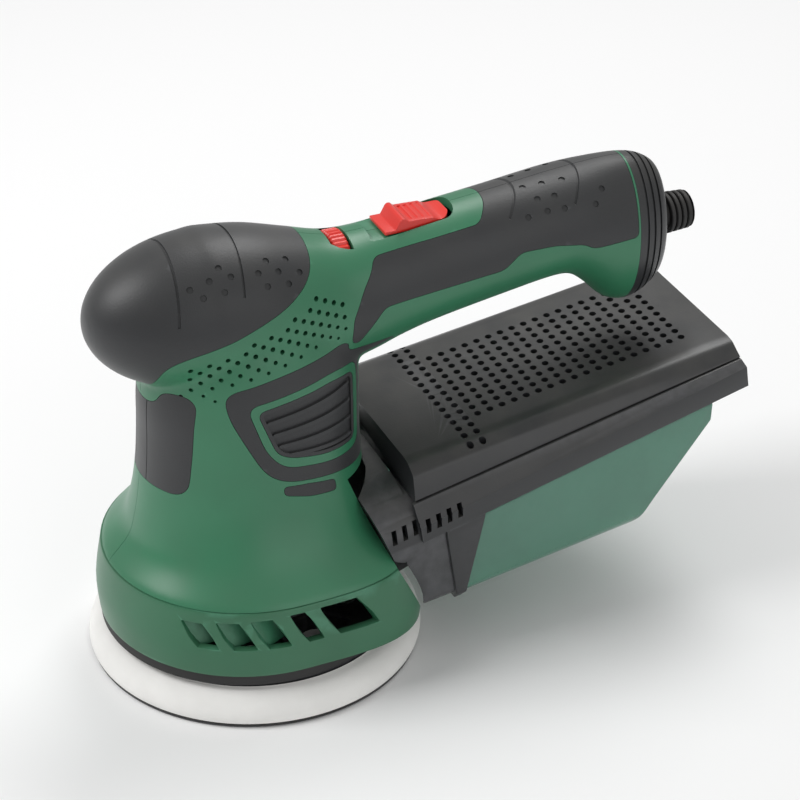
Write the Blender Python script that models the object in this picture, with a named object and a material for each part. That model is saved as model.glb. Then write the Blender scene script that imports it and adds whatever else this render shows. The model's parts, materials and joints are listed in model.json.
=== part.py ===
"""Random orbit sander: two-shell housing, universal motor, orbiting pad and a slide-off dust box.

Units are metres.  +Z is up, the front knob points along -Y, the dust box along +Y.
The origin lies on the motor's axis in the plane of the sanding face.
"""

import math

import bmesh
import bpy
from mathutils import Matrix, Vector

# ---------------------------------------------------------------- general values
GAP = 0.0003            # air left between neighbouring pieces
RUN = 0.0006            # air left round a piece that turns or slides
WALL = 0.0030           # housing shell wall
SKIN = 0.0016           # soft grip laid into the shells
AROUND = 24             # points around a lofted section
SPLIT = 0.00015         # half of the joint between the two housing shells

# ---------------------------------------------------------------- pad and drive
PAD_RADIUS = 0.0625
ORBIT = 0.0020          # offset of the pad's axis from the motor's
PLATE_RADIUS = PAD_RADIUS - 0.0090
DUST_HOLES, DUST_HOLE_RADIUS, DUST_CIRCLE = 8, 0.0055, 0.0325
SCREW_CIRCLE = 0.0190
SHAFT_RADIUS = 0.0040
PAD_BEARING = (0.0050, 0.0082, 0.0095, 0.0130)      # radii of the inner and the outer ring
LOWER_BEARING = (0.0040, 0.0062, 0.0085, 0.0110)
UPPER_BEARING = (0.0035, 0.0052, 0.0068, 0.0090)
FAN_RADIUS = 0.0360
CORE_RADIUS, STATOR_BORE, STATOR_RADIUS = 0.0150, 0.0162, 0.0262

# ---------------------------------------------------------------- controls
SWITCH_TRAVEL = 0.0045
SLIDE = (0.0530, 0.0790)            # front and rear of the thumb slide when it is off
RIDGE = 0.0047                      # start of the thumb ridge behind the slide's front
SLIDE_HALF, SLIDE_AIR = 0.0072, 0.0008
SLIDE_ROOM = (0.0008, 0.0020)       # recess left in front of the slide's travel and behind it
PANEL = 0.1590                      # floor of the slide's recess
LINK = (0.0665, 0.0705)             # front and rear of the link under the slide
LINK_HALF = 0.0022
DIAL_RADIUS, DIAL_WIDTH = 0.0130, 0.0066
DIAL_CENTRE = (0.0, 0.0365, 0.1486)

# ---------------------------------------------------------------- dust box
DUST_SLOPE = math.radians(8.6)
DUST_PIVOT = (0.0525, 0.0819)       # the lid's front top edge: along Y, height
DUST_LENGTH = 0.1310
DUST_WALL = 0.0022
DUST_DEPTH = 0.0605
FRAME_HALF = (0.0465, 0.0445)       # half width at the front and at the rear end
LID_FOOT = (-0.0122, 0.055)         # lower edge of the lid: height at the front, rise per length
BAND_FOOT = (-0.0205, 0.105)        # lower edge of the sloped band under the lid
FRAME_FOOT = (-0.0272, 0.092)       # lower edge of the frame, where the clear bin begins

# ---------------------------------------------------------------- housing form
SKIRT_FOOT = 0.0190
# Skirt and bell sections: height, half width, front reach, rear reach, rear squareness.
SKIRT = [
    (SKIRT_FOOT, PAD_RADIUS - 0.0065, PAD_RADIUS - 0.0065, PAD_RADIUS - 0.0055, 3.8),
    (0.0300, PAD_RADIUS - 0.0059, PAD_RADIUS - 0.0059, PAD_RADIUS - 0.0050, 3.8),
    (0.0450, 0.0542, 0.0542, 0.0550, 3.3),
]
BELL = [
    (0.0453, 0.0540, 0.0540, 0.0550, 3.3),
    (0.0545, 0.0455, 0.0455, 0.0470, 2.7),
    (0.0620, 0.0405, 0.0430, 0.0440, 2.5),
    (0.0720, 0.0365, 0.0410, 0.0425, 2.4),
    (0.0840, 0.0340, 0.0395, 0.0420, 2.3),
    (0.0980, 0.0325, 0.0386, 0.0420, 2.3),
    (0.1120, 0.0315, 0.0380, 0.0420, 2.3),
    (0.1260, 0.0300, 0.0350, 0.0410, 2.2),
    (0.1380, 0.0260, 0.0280, 0.0380, 2.2),
    (0.1480, 0.0190, 0.0150, 0.0300, 2.1),
]
# Knob: an egg whose nose is at -Y, then the stations of the neck top and the handle:
# place along Y, top, bottom, half width.
NOSE_CENTRE = -0.014
NOSE_REACH = 0.043
NOSE_RADIUS = 0.0275
NOSE_HEIGHT = 0.1430
NOSE_STEPS = (0.995, 0.93, 0.80, 0.62, 0.40, 0.18)
HANDLE = [
    (-0.0140, 0.1710, 0.1158, 0.0280),
    (0.0040, 0.1688, 0.1150, 0.0272),
    (0.0200, 0.1645, 0.1130, 0.0245),
    (0.0340, 0.1607, 0.1115, 0.0217),
    (0.0460, 0.1603, 0.1130, 0.0202),
    (0.0580, 0.1614, 0.1170, 0.0196),
    (0.0720, 0.1632, 0.1205, 0.0195),
    (0.0980, 0.1658, 0.1250, 0.0195),
    (0.1180, 0.1680, 0.1280, 0.0198),
    (0.1270, 0.1688, 0.1270, 0.0198),
    (0.1350, 0.1694, 0.1210, 0.0195),
    (0.1430, 0.1697, 0.1130, 0.0188),
    (0.1510, 0.1693, 0.1105, 0.0180),
    (0.1580, 0.1675, 0.1130, 0.0168),
    (0.1640, 0.1635, 0.1180, 0.0140),
]

# Rear face of the housing, where the dust box meets it: place along Y at height 0, lean, top.
REAR_FACE, REAR_LEAN, REAR_TOP = 0.0580, 0.385, 0.0764
SKIRT_REAR, SKIRT_LEAN = 0.0623, 0.481              # the skirt's own rear edge leans a little more
CAP_START = 0.1500
GLAND_NECK, GLAND_HEIGHT = 0.0058, 0.1410
# Skirt vents: bearings of the two edges at half height in degrees, height of the top.
VENTS = [(-43.0, -34.5, 0.0405), (-29.5, -20.5, 0.0415), (-16.5, -8.0, 0.0422), (-1.5, 4.5, 0.0428),
         (10.5, 25.0, 0.0430)]
VENT_LOW, VENT_LEAN = 0.0308, 7.0

# Side-view outlines of the soft grips: place along Y, height.
KNOB_SEAM = [(0.0235, 0.182), (0.0232, 0.1625), (0.0195, 0.1560), (0.0112, 0.1510), (0.0, 0.1468),
             (-0.0150, 0.1415), (-0.0308, 0.1377), (-0.0374, 0.1320), (-0.0390, 0.105), (-0.080, 0.105),
             (-0.080, 0.182)]
SIDE_FRAME = [(-0.0165, 0.1220), (-0.0155, 0.1130), (-0.0100, 0.1010), (-0.0042, 0.0897), (0.0030, 0.0850),
              (0.0195, 0.0825), (0.0560, 0.0765), (0.0560, 0.1235), (0.0330, 0.1235), (0.0330, 0.1290),
              (0.0180, 0.1278), (0.0020, 0.1257)]
SIDE_WINDOW = [(-0.0095, 0.1165), (-0.0034, 0.0976), (0.0028, 0.0905), (0.0240, 0.0868), (0.0365, 0.0862),
               (0.0372, 0.1190), (0.0240, 0.1213), (0.0078, 0.1190)]
SIDE_INSERT = [(-0.0058, 0.1140), (0.0005, 0.0968), (0.0055, 0.0940), (0.0200, 0.0910), (0.0340, 0.0897),
               (0.0344, 0.1165), (0.0232, 0.1178), (0.0077, 0.1160)]
HANDLE_GRIP = [(0.0461, 0.1552), (0.0396, 0.1460), (0.0350, 0.1370), (0.0345, 0.1275), (0.0372, 0.1262),
               (0.0475, 0.1386), (0.0940, 0.1429), (0.1007, 0.1486), (0.1142, 0.1486), (0.1301, 0.1440),
               (0.1490, 0.1440), (0.1490, 0.182), (0.0935, 0.182), (0.0930, 0.1655), (0.0870, 0.1597)]
NECK_PAD = [(-0.0228, 0.0805), (0.0228, 0.0805), (0.0232, 0.1200), (0.0130, 0.1200), (0.0095, 0.1130),
            (-0.0095, 0.1130), (-0.0130, 0.1200), (-0.0232, 0.1200)]

# Housing screws: place along Y, height, where the head sits along -X.
SCREW_SHANK, SCREW_HEAD = 0.0013, 0.0028
SCREWS = [(-0.0335, 0.0760, -0.0150), (-0.0200, 0.1090, -0.0170), (0.0230, 0.1400, -0.0190),
          (0.0530, 0.1270, -0.0130), (0.1340, 0.1350, -0.0150)]


# ================================================================ building blocks
def clear_scene():
    for obj in list(bpy.data.objects):
        bpy.data.objects.remove(obj)


def add_object(name, bm):
    """Recalculates the normals, and links the mesh as a new object."""
    bmesh.ops.recalc_face_normals(bm, faces=bm.faces)
    mesh = bpy.data.meshes.new(name)
    bm.to_mesh(mesh)
    bm.free()
    obj = bpy.data.objects.new(name, mesh)
    bpy.context.scene.collection.objects.link(obj)
    return obj


def loft(name, rings):
    """A closed body through rings of equal point counts."""
    bm = bmesh.new()
    loops = [[bm.verts.new(point) for point in ring] for ring in rings]
    count = len(rings[0])
    for low, high in zip(loops, loops[1:]):
        for i in range(count):
            j = (i + 1) % count
            bm.faces.new((low[i], low[j], high[j], high[i]))
    bm.faces.new(loops[0])
    bm.faces.new(loops[-1])
    return add_object(name, bm)


def prism(name, outline, start, end, place):
    """An outline of (a, b) pairs drawn out from `start` to `end`; place(a, b, c) gives the point."""
    return loft(name, [[place(a, b, c) for a, b in outline] for c in (start, end)])


def along_x(a, b, c):
    return (c, a, b)


def along_y(a, b, c):
    return (a, c, b)


def along_z(a, b, c):
    return (a, b, c)


def box(name, low, high):
    (x0, y0, z0), (x1, y1, z1) = low, high
    return prism(name, [(x0, y0), (x1, y0), (x1, y1), (x0, y1)], z0, z1, along_z)


def circle(radius, centre=(0.0, 0.0), count=24, turn=0.0):
    steps = (turn + 2 * math.pi * i / count for i in range(count))
    return [(centre[0] + radius * math.cos(a), centre[1] + radius * math.sin(a)) for a in steps]


def disc(name, radius, z0, z1, centre=(0.0, 0.0), count=24):
    return prism(name, circle(radius, centre, count), z0, z1, along_z)


def ring(name, inner, outer, z0, z1, centre=(0.0, 0.0), count=24):
    """A flat ring: an annular section turned about the vertical axis."""
    return turned(name, [(inner, z0), (outer, z0), (outer, z1), (inner, z1)], centre, count)


def turned(name, profile, centre=(0.0, 0.0), count=24):
    """A closed (radius, height) profile turned about the vertical axis through `centre`."""
    bm = bmesh.new()
    loops = []
    for radius, z in profile:
        if radius == 0:
            loops.append([bm.verts.new((centre[0], centre[1], z))] * count)
        else:
            loops.append([bm.verts.new((x, y, z)) for x, y in circle(radius, centre, count)])
    closed = all(radius > 0 for radius, _ in profile)
    for low, high in zip(loops, loops[1:] + loops[:1] if closed else loops[1:]):
        for i in range(count):
            j = (i + 1) % count
            corners = []
            for vert in (low[i], low[j], high[j], high[i]):
                if vert not in corners:
                    corners.append(vert)
            if len(corners) > 2:
                bm.faces.new(corners)
    return add_object(name, bm)


def rounded(outline, radius, steps=3):
    """The outline with each corner replaced by a short curve."""
    result = []
    count = len(outline)
    for i, corner in enumerate(outline):
        corner = Vector(corner)
        before, after = Vector(outline[i - 1]) - corner, Vector(outline[(i + 1) % count]) - corner
        start = corner + before.normalized() * min(radius, before.length * 0.45)
        end = corner + after.normalized() * min(radius, after.length * 0.45)
        for k in range(steps + 1):
            t = k / steps
            point = start * (1 - t) ** 2 + corner * 2 * t * (1 - t) + end * t * t
            result.append((point.x, point.y))
    return result


def offset(outline, distance):
    """The outline moved outwards by `distance`; corners are mitred."""
    count = len(outline)
    area = sum(outline[i - 1][0] * outline[i][1] - outline[i][0] * outline[i - 1][1] for i in range(count))
    side = 1 if area > 0 else -1
    result = []
    for i, corner in enumerate(outline):
        before = (Vector(corner) - Vector(outline[i - 1])).normalized()
        after = (Vector(outline[(i + 1) % count]) - Vector(corner)).normalized()
        normal = Vector((before.y + after.y, -before.x - after.x)) * side
        normal.normalize()
        share = max(0.35, normal.dot(Vector((before.y, -before.x)) * side))
        point = Vector(corner) + normal * (distance / share)
        result.append((point.x, point.y))
    return result


def solved(target, tool, operation, solver):
    """The mesh that one Boolean gives, worked out with the given solver."""
    modifier = target.modifiers.new("boolean", "BOOLEAN")
    modifier.operation = operation
    modifier.solver = solver
    modifier.object = tool
    graph = bpy.context.evaluated_depsgraph_get()
    mesh = bpy.data.meshes.new_from_object(target.evaluated_get(graph))
    target.modifiers.clear()
    return mesh


def volume_of(mesh):
    """The mesh's signed volume, or None where it isn't closed."""
    bm = bmesh.new()
    bm.from_mesh(mesh)
    closed = len(bm.faces) > 0 and all(edge.is_manifold for edge in bm.edges)
    volume = bm.calc_volume(signed=True) if closed else None
    bm.free()
    return volume


def is_sound(result, target, tool, operation):
    """Whether the result is closed and its volume is one the operation can give."""
    volume = volume_of(result)
    if volume is None:
        return False
    first, second = volume_of(target), volume_of(tool)
    least, most = {"DIFFERENCE": (max(0.0, first - second), first), "INTERSECT": (0.0, min(first, second)),
                   "UNION": (max(first, second), first + second)}[operation]
    slack = 1e-12
    return least - slack < volume < most + slack


def boolean(target, tool, operation):
    """Applies one Boolean to `target` and removes `tool`; exact, unless that result isn't sound."""
    mesh = solved(target, tool, operation, "EXACT")
    if not is_sound(mesh, target.data, tool.data, operation):
        mesh = solved(target, tool, operation, "MANIFOLD")
    target.data = mesh
    bpy.data.objects.remove(tool)
    return target


def cut(target, *tools):
    for tool in tools:
        boolean(target, tool, "DIFFERENCE")
    return target


def join(target, *tools):
    for tool in tools:
        boolean(target, tool, "UNION")
    return target


def keep(target, tool):
    return boolean(target, tool, "INTERSECT")


def copy_of(obj, name="copy"):
    twin = bpy.data.objects.new(name, obj.data.copy())
    bpy.context.scene.collection.objects.link(twin)
    return twin


def mirrored(obj, name):
    """A copy of the object on the other side of the middle plane."""
    bm = bmesh.new()
    bm.from_mesh(obj.data)
    bm.transform(Matrix.Scale(-1, 4, (1, 0, 0)))
    bm.normal_update()
    return add_object(name, bm)


def moved(obj, x=0.0, y=0.0, z=0.0):
    obj.data.transform(Matrix.Translation((x, y, z)))
    return obj


# ================================================================ housing
def power(value, exponent):
    """Signed power, for superellipses."""
    return math.copysign(abs(value) ** exponent, value)


def bell_ring(z, half, front, rear, square, grow):
    points = []
    for i in range(AROUND):
        angle = 2 * math.pi * i / AROUND
        c, s = math.cos(angle), math.sin(angle)
        exponent = 2 / square if s > 0 else 1.0
        reach = (rear if s > 0 else front) + grow
        points.append((power(c, exponent) * (half + grow), power(s, exponent) * reach, z))
    return points


def bell(grow=0.0, drop=0.0):
    """The neck and cone, grown outwards by `grow` and drawn down by `drop`."""
    sections = [bell_ring(*section, grow) for section in BELL]
    if drop:
        z, *rest = BELL[0]
        sections.insert(0, bell_ring(z - drop, *rest, grow))
    return loft("bell", sections)


def skirt_form(grow=0.0, low=0.0, high=0.0):
    """The flared skirt, grown outwards and drawn out by `low` below and `high` above."""
    sections = [bell_ring(*section, grow) for section in SKIRT]
    if low:
        z, *rest = SKIRT[0]
        sections.insert(0, bell_ring(z - low, *rest, grow))
    if high:
        z, *rest = SKIRT[-1]
        sections.append(bell_ring(z + high, *rest, grow))
    return loft("skirt_form", sections)


def top_ring(y, top, bottom, half, grow):
    middle, tall = (top + bottom) / 2, (top - bottom) / 2 + grow
    return [
        (math.cos(a) * (half + grow), y, middle + math.sin(a) * tall)
        for a in (2 * math.pi * i / AROUND for i in range(AROUND))
    ]


def top_body(grow=0.0):
    """The knob, neck top and handle as one loft along Y, grown outwards by `grow`."""
    rings = []
    for share in NOSE_STEPS:
        width = math.sqrt(1 - share * share)
        radius = NOSE_RADIUS * width
        y = NOSE_CENTRE - share * (NOSE_REACH + grow)
        rings.append(top_ring(y, NOSE_HEIGHT + radius, NOSE_HEIGHT - radius, radius, grow * width))
    for station in HANDLE[:-1]:
        rings.append(top_ring(*station, grow))
    y, top, bottom, half = HANDLE[-1]
    rings.append(top_ring(y + grow, top, bottom, half, grow))
    return loft("top_body", rings)


def body_form(grow=0.0, drop=0.0):
    return join(bell(grow, drop), top_body(grow))


def behind_rear_face(away=0.0):
    """Everything behind the leaning rear face, moved back by `away`."""
    low, high = -0.02, REAR_TOP + min(away, 0.0)
    line = [(REAR_FACE - REAR_LEAN * z + away, z) for z in (low, high)]
    return prism("behind", [line[0], (0.30, low), (0.30, high), line[1]], -0.1, 0.1, along_x)


def behind_skirt():
    """Everything behind the skirt's own rear edge."""
    low, high = -0.02, SKIRT[-1][0] + 0.01
    line = [(SKIRT_REAR - SKIRT_LEAN * z, z) for z in (low, high)]
    return prism("behind", [line[0], (0.30, low), (0.30, high), line[1]], -0.1, 0.1, along_x)


def grip_regions(grow=0.0):
    """One cutter for each soft grip, grown by `grow`."""
    def curve(outline, radius):
        return offset(rounded(outline, radius), grow)
    return {
        "front_knob_grip": [prism("knob", curve(KNOB_SEAM, 0.008), -0.08, 0.08, along_x)],
        "neck_pad": [prism("neck", curve(NECK_PAD, 0.006), -0.08, -0.0150, along_y)],
        "right_side_grip": [side_region(grow)],
        "right_side_insert": [prism("insert", curve(SIDE_INSERT, 0.003), 0.015, 0.08, along_x)],
        "right_handle_grip": [prism("handle", curve(HANDLE_GRIP, 0.003), GAP / 2 - grow, 0.08, along_x)],
    }


def side_region(grow):
    frame = prism("frame", offset(rounded(SIDE_FRAME, 0.005), grow), 0.015, 0.08, along_x)
    window = prism("window", offset(rounded(SIDE_WINDOW, 0.004), -grow), 0.01, 0.09, along_x)
    return cut(frame, window)


def soft_grips():
    """The soft skins laid into the outer face of the shells, and the pockets they lie in."""
    layer = cut(body_form(), body_form(-SKIN))
    cut(layer, behind_rear_face(-0.0006), box("rear", (-0.1, CAP_START - GAP, 0), (0.1, 0.3, 0.3)))
    cut(layer, *control_openings(0.0012))
    for name, cutters in grip_regions().items():
        piece = copy_of(layer, name)
        for cutter in cutters:
            keep(piece, cutter)
        if name.startswith("right_"):
            mirrored(piece, name.replace("right_", "left_"))
    bpy.data.objects.remove(layer)


def both_sides(cutter):
    return [cutter, mirrored(cutter, "mirror")]


def control_openings(grow=0.0):
    """The dial's window and the slide switch's recess with the slot in its floor."""
    x, y, z = DIAL_CENTRE
    reach = DIAL_WIDTH / 2 + RUN + grow
    window = prism("window", circle(DIAL_RADIUS + RUN + grow, (x, z), 32), y - reach, y + reach, along_y)
    half = SLIDE_HALF + SLIDE_AIR
    front, rear = SLIDE[0] - SWITCH_TRAVEL - SLIDE_ROOM[0], SLIDE[1] + SLIDE_ROOM[1]
    recess = box("recess", (-half - grow, front - grow, PANEL), (half + grow, rear + grow, 0.18))
    slot = box("slot", (-LINK_HALF - RUN, LINK[0] - SWITCH_TRAVEL - 0.0020, 0.150),
               (LINK_HALF + RUN, LINK[1] + 0.0015, 0.18))
    return [window, recess, slot]


def screw_boss(y, z):
    return prism("boss", circle(0.0036, (y, z), 16), -0.05, 0.05, along_x)


def shell_ribs():
    """Walls that hold the stator and the upper bearing, as one body to be trimmed to the inside."""
    ribs = []
    for low in (0.0630, 0.0860):
        rib = ring("rib", STATOR_RADIUS + GAP, 0.07, low, low + 0.0030)
        ribs.append(cut(rib, behind_rear_face(-0.0036)) if low < REAR_TOP else rib)
    seat = disc("seat", 0.07, 0.1125, 0.1205)
    cut(seat, disc("pocket", UPPER_BEARING[3] + GAP, 0.10, 0.1195), disc("hole", 0.0050, 0.10, 0.13))
    return ribs + [seat]


def housing_shells():
    """The two shells: one hollow body with its ribs and bosses, cut in half on the middle plane."""
    shell = body_form()
    for name, cutters in grip_regions(GAP).items():
        for cutter in cutters:
            cut(shell, *(both_sides(cutter) if name.startswith("right_") else [cutter]))
    join(shell, body_form(-SKIN - GAP))
    cut(shell, body_form(-WALL - 0.0004, 0.002))
    inside = [keep(part, body_form(-WALL + 0.0004)) for part in shell_ribs()]
    bosses = [keep(screw_boss(y, z), body_form(-WALL + 0.0004)) for y, z, _ in SCREWS]
    join(shell, *inside, *bosses)
    cut(shell, behind_rear_face(), box("rear", (-0.1, CAP_START, 0), (0.1, 0.3, 0.3)))
    cut(shell, *control_openings(), box("half", (-SPLIT, -0.2, -0.1), (0.2, 0.3, 0.3)))
    shell.name = "left_housing_shell"
    right = mirrored(shell, "right_housing_shell")
    for y, z, head in SCREWS:
        cut(shell, prism("bore", circle(SCREW_SHANK + GAP, (y, z), 12), head - 0.01, 0.01, along_x),
            prism("sink", circle(SCREW_HEAD + GAP, (y, z), 12), -0.08, head, along_x))
        cut(right, prism("bore", circle(SCREW_SHANK + GAP, (y, z), 12), -0.01, 0.0105, along_x))


def housing_screws():
    """The screws that hold the two shells together, put in from the left."""
    for number, (y, z, head) in enumerate(SCREWS, 1):
        shank = prism(f"housing_screw_{number}", circle(SCREW_SHANK, (y, z), 12), head, 0.0098, along_x)
        top = prism("head", circle(SCREW_HEAD, (y, z), 12), head - 0.0022, head - GAP, along_x)
        neck = prism("neck", circle(SCREW_SHANK, (y, z), 12), head - 0.001, head + 0.001, along_x)
        join(shank, neck, top)
        cut(shank, box("drive", (head - 0.003, y - 0.0016, z - 0.0003),
                       (head - 0.0012, y + 0.0016, z + 0.0003)))


def rear_cap():
    """The end cap of the handle, with three ring grooves and the hole for the gland."""
    cap = cut(top_body(), box("front", (-0.1, -0.2, 0), (0.1, CAP_START + GAP, 0.3)))
    cut(cap, top_body(-WALL),
        prism("gland_hole", circle(GLAND_NECK + 0.0004, (0, GLAND_HEIGHT), 24), 0.150, 0.18, along_y))
    for y in (0.1535, 0.1565, 0.1595):
        band = cut(box("band", (-0.1, y - 0.0005, 0), (0.1, y + 0.0005, 0.3)), top_body(-0.0008))
        cut(cap, band)
    cap.name = "rear_cap"


def cord_gland():
    """A short rubber nose in the cap's end wall, with a blind socket for the supply lead."""
    profile = [(0.0, 0.1560), (0.0085, 0.1560), (0.0085, 0.1600), (GLAND_NECK, 0.1600), (GLAND_NECK, 0.1690),
               (0.0078, 0.1690), (0.0072, 0.1790), (0.0036, 0.1790), (0.0036, 0.1620), (0.0, 0.1620)]
    gland = turned("cord_gland", profile, count=24)
    gland.data.transform(Matrix.Translation((0, 0, GLAND_HEIGHT)) @ Matrix.Rotation(-math.pi / 2, 4, "X"))


def vent(front, rear, top):
    """A slanted opening in the right side of the skirt."""
    rings = []
    for z, lean in ((VENT_LOW, VENT_LEAN / 2), (top, -VENT_LEAN / 2)):
        edges = [math.radians(angle + lean) for angle in (front, rear)]
        plan = [(0.044, edges[0]), (0.072, edges[0]), (0.072, edges[1]), (0.044, edges[1])]
        rings.append([(radius * math.cos(a), radius * math.sin(a), z) for radius, a in plan])
    return loft("vent", rings)


def base_skirt():
    """The flared shroud round the pad, with its vents."""
    skirt = cut(skirt_form(), skirt_form(-WALL, 0.002, 0.002), behind_skirt())
    for edges in VENTS:
        cut(skirt, *both_sides(vent(*edges)))
    skirt.name = "base_skirt"


def brake_ring():
    """The dark rubber ring under the skirt that steadies the pad."""
    inner, outer, flare = PLATE_RADIUS - 0.0085, PLATE_RADIUS - 0.0010, PAD_RADIUS - 0.0070
    low, high = 0.0146, SKIRT_FOOT + 0.0010
    turned("brake_ring", [(inner, low), (flare, low), (flare, SKIRT_FOOT - GAP), (outer, SKIRT_FOOT - GAP),
                          (outer, high), (inner, high)], count=36)


def exhaust_duct():
    """Wall closing the leaning rear opening, with a port and a spigot for the dust box."""
    wall = join(skirt_form(-WALL - 0.0008, -0.0003, 0.0003), bell(-WALL - 0.0008, 0.0))
    keep(wall, behind_rear_face(-0.0030))
    cut(wall, behind_rear_face(-0.0006), box("low", (-0.1, -0.2, 0), (0.1, 0.3, 0.0205)))
    spigot = cut(port_block(0.0230, 0.0115, -0.0020, 0.0075), port_block(0.0210, 0.0095, -0.01, 0.02))
    cut(wall, port_block(0.0210, 0.0095, -0.01, 0.02))
    join(wall, spigot)
    wall.name = "exhaust_duct"


def port_block(half, tall, near, far, height=0.0335):
    """A block square to the rear face, from `near` to `far` behind it."""
    lean = math.atan(REAR_LEAN)
    outline = rounded([(-half, -tall), (half, -tall), (half, tall), (-half, tall)], 0.004)
    block = prism("port", outline, near, far, along_y)
    block.data.transform(Matrix.Translation((0, REAR_FACE - REAR_LEAN * height, height))
                         @ Matrix.Rotation(lean, 4, "X"))
    return block


def port_seal():
    seal = cut(port_block(0.0255, 0.0140, 0.0003, 0.0028), port_block(0.0233, 0.0118, -0.01, 0.02))
    seal.name = "port_seal"
    return seal


# ================================================================ motor
def stator_core():
    core = ring("stator_core", STATOR_BORE, STATOR_RADIUS, 0.0600, 0.0920, count=40)
    for side in (-1, 1):
        cut(core, coil_sector("pocket", side, GAP, 0.05, 0.10))
    return core


def coil_sector(name, side, grow, z0, z1):
    """A curved block of winding on the front (-1) or the rear (1) of the stator."""
    spread = math.radians(42)
    inner, outer = 0.0172 - grow, 0.0222 + grow
    angles = [side * math.pi / 2 + spread * (k / 5 - 1) for k in range(11)]
    angles[0] -= grow / inner
    angles[-1] += grow / inner
    points = [(outer * math.cos(a), outer * math.sin(a)) for a in angles]
    points += [(inner * math.cos(a), inner * math.sin(a)) for a in reversed(angles)]
    return prism(name, points, z0, z1, along_z)


def motor_fixed_parts():
    stator_core()
    coil_sector("front_field_coil", -1, 0.0, 0.0550, 0.0970)
    coil_sector("rear_field_coil", 1, 0.0, 0.0550, 0.0970)
    for name, side in (("right", 1), ("left", -1)):
        holder = box(f"{name}_brush_holder", (0.0120, -0.0050, 0.1005), (0.0270, 0.0050, 0.1105))
        cut(holder, box("bore", (0.0, -0.0033, 0.1022), (0.05, 0.0033, 0.1088)))
        brush = box(f"{name}_carbon_brush", (0.0094, -0.0030, 0.1025), (0.0240, 0.0030, 0.1085))
        if side < 0:
            for part in (holder, brush):
                part.data.transform(Matrix.Scale(-1, 4, (1, 0, 0)))
                part.data.flip_normals()
    ring("lower_bearing_outer_ring", LOWER_BEARING[2], LOWER_BEARING[3], 0.0430, 0.0500)
    ring("upper_bearing_outer_ring", UPPER_BEARING[2], UPPER_BEARING[3], 0.1130, 0.1190)


def bearing_bridge():
    """Plate between the skirt and the shells that carries the lower bearing."""
    bridge = loft("bearing_bridge", [bell_ring(z, 0.0540, 0.0540, 0.0550, 3.3, -WALL - 0.0010)
                                     for z in (0.0395, 0.0425)])
    join(bridge, disc("boss", LOWER_BEARING[3] + 0.0030, 0.0400, 0.0505))
    cut(bridge, disc("seat", LOWER_BEARING[3] + GAP, 0.0427, 0.06), disc("hole", 0.0070, 0.03, 0.06),
        behind_rear_face(-0.0036))
    for x, y in circle(0.030, count=6, turn=math.pi / 6):
        cut(bridge, disc("vent", 0.0055, 0.03, 0.06, (x, y), 16))
    return bridge


def motor_turning_parts():
    shaft = turned("motor_shaft", [(0.0, 0.0335), (SHAFT_RADIUS - GAP, 0.0335), (SHAFT_RADIUS - GAP, 0.0515),
                                   (0.0050, 0.0520), (0.0050, 0.1110), (0.0032, 0.1115), (0.0032, 0.1195),
                                   (0.0, 0.1195)], count=24)
    core = ring("armature_core", 0.0053, CORE_RADIUS, 0.0620, 0.0900)
    for x, y in circle(0.0150, count=12):
        cut(core, disc("slot", 0.0011, 0.05, 0.10, (x, y), 8))
    turned("lower_armature_winding", [(0.0053, 0.0540), (0.0120, 0.0540), (0.0138, 0.0570), (0.0138, 0.0600),
                                      (0.0125, 0.0617), (0.0053, 0.0617)])
    turned("upper_armature_winding", [(0.0053, 0.0903), (0.0125, 0.0903), (0.0138, 0.0920), (0.0138, 0.0945),
                                      (0.0115, 0.0975), (0.0053, 0.0975)])
    ring("commutator", 0.0053, 0.0090, 0.0985, 0.1098)
    ring("lower_bearing_inner_ring", LOWER_BEARING[0], LOWER_BEARING[1], 0.0430, 0.0500)
    ring("upper_bearing_inner_ring", UPPER_BEARING[0], UPPER_BEARING[1], 0.1130, 0.1190)
    return shaft


def fan_counterweight():
    """Fan disc, its hub with the eccentric bore of the pad bearing, and the balance weight."""
    fan = turned("fan_counterweight", [(0.0, 0.0245), (0.0170, 0.0245), (0.0170, 0.0270),
                                       (FAN_RADIUS, 0.0270),
                                       (FAN_RADIUS, 0.0285), (0.0175, 0.0285), (0.0165, 0.0340),
                                       (0.0090, 0.0355), (0.0085, 0.0385), (0.0, 0.0385)])
    for k in range(12):
        blade = box("blade", (0.0160, -0.0006, 0.0280), (0.0350, 0.0006, 0.0360))
        blade.data.transform(Matrix.Rotation(math.radians(30 * k + 15), 4, "Z"))
        join(fan, blade)
    weight = prism("weight", [(0.031 * math.cos(a), 0.031 * math.sin(a)) for a in
                              (math.radians(210 + 12 * k) for k in range(11))]
                   + [(0.016 * math.cos(a), 0.016 * math.sin(a)) for a in
                      (math.radians(330 - 12 * k) for k in range(11))], 0.0245, 0.0275, along_z)
    join(fan, weight)
    cut(fan, disc("bearing_seat", PAD_BEARING[3] + GAP, 0.02, 0.0325, (0, ORBIT)),
        disc("shaft_bore", SHAFT_RADIUS, 0.02, 0.05, count=24))
    ring("pad_bearing_outer_ring", PAD_BEARING[2], PAD_BEARING[3], 0.0250, 0.0320, (0, ORBIT))


# ================================================================ pad
def on_pad(radius, angle):
    turn = math.radians(angle)
    return (radius * math.cos(turn), ORBIT + radius * math.sin(turn))


def cut_dust_holes(target):
    """Cuts the ring of dust holes through a piece of the pad."""
    for k in range(DUST_HOLES):
        cut(target, disc("hole", DUST_HOLE_RADIUS, -0.01, 0.03, on_pad(DUST_CIRCLE, 45 * k + 22.5), 10))


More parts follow.
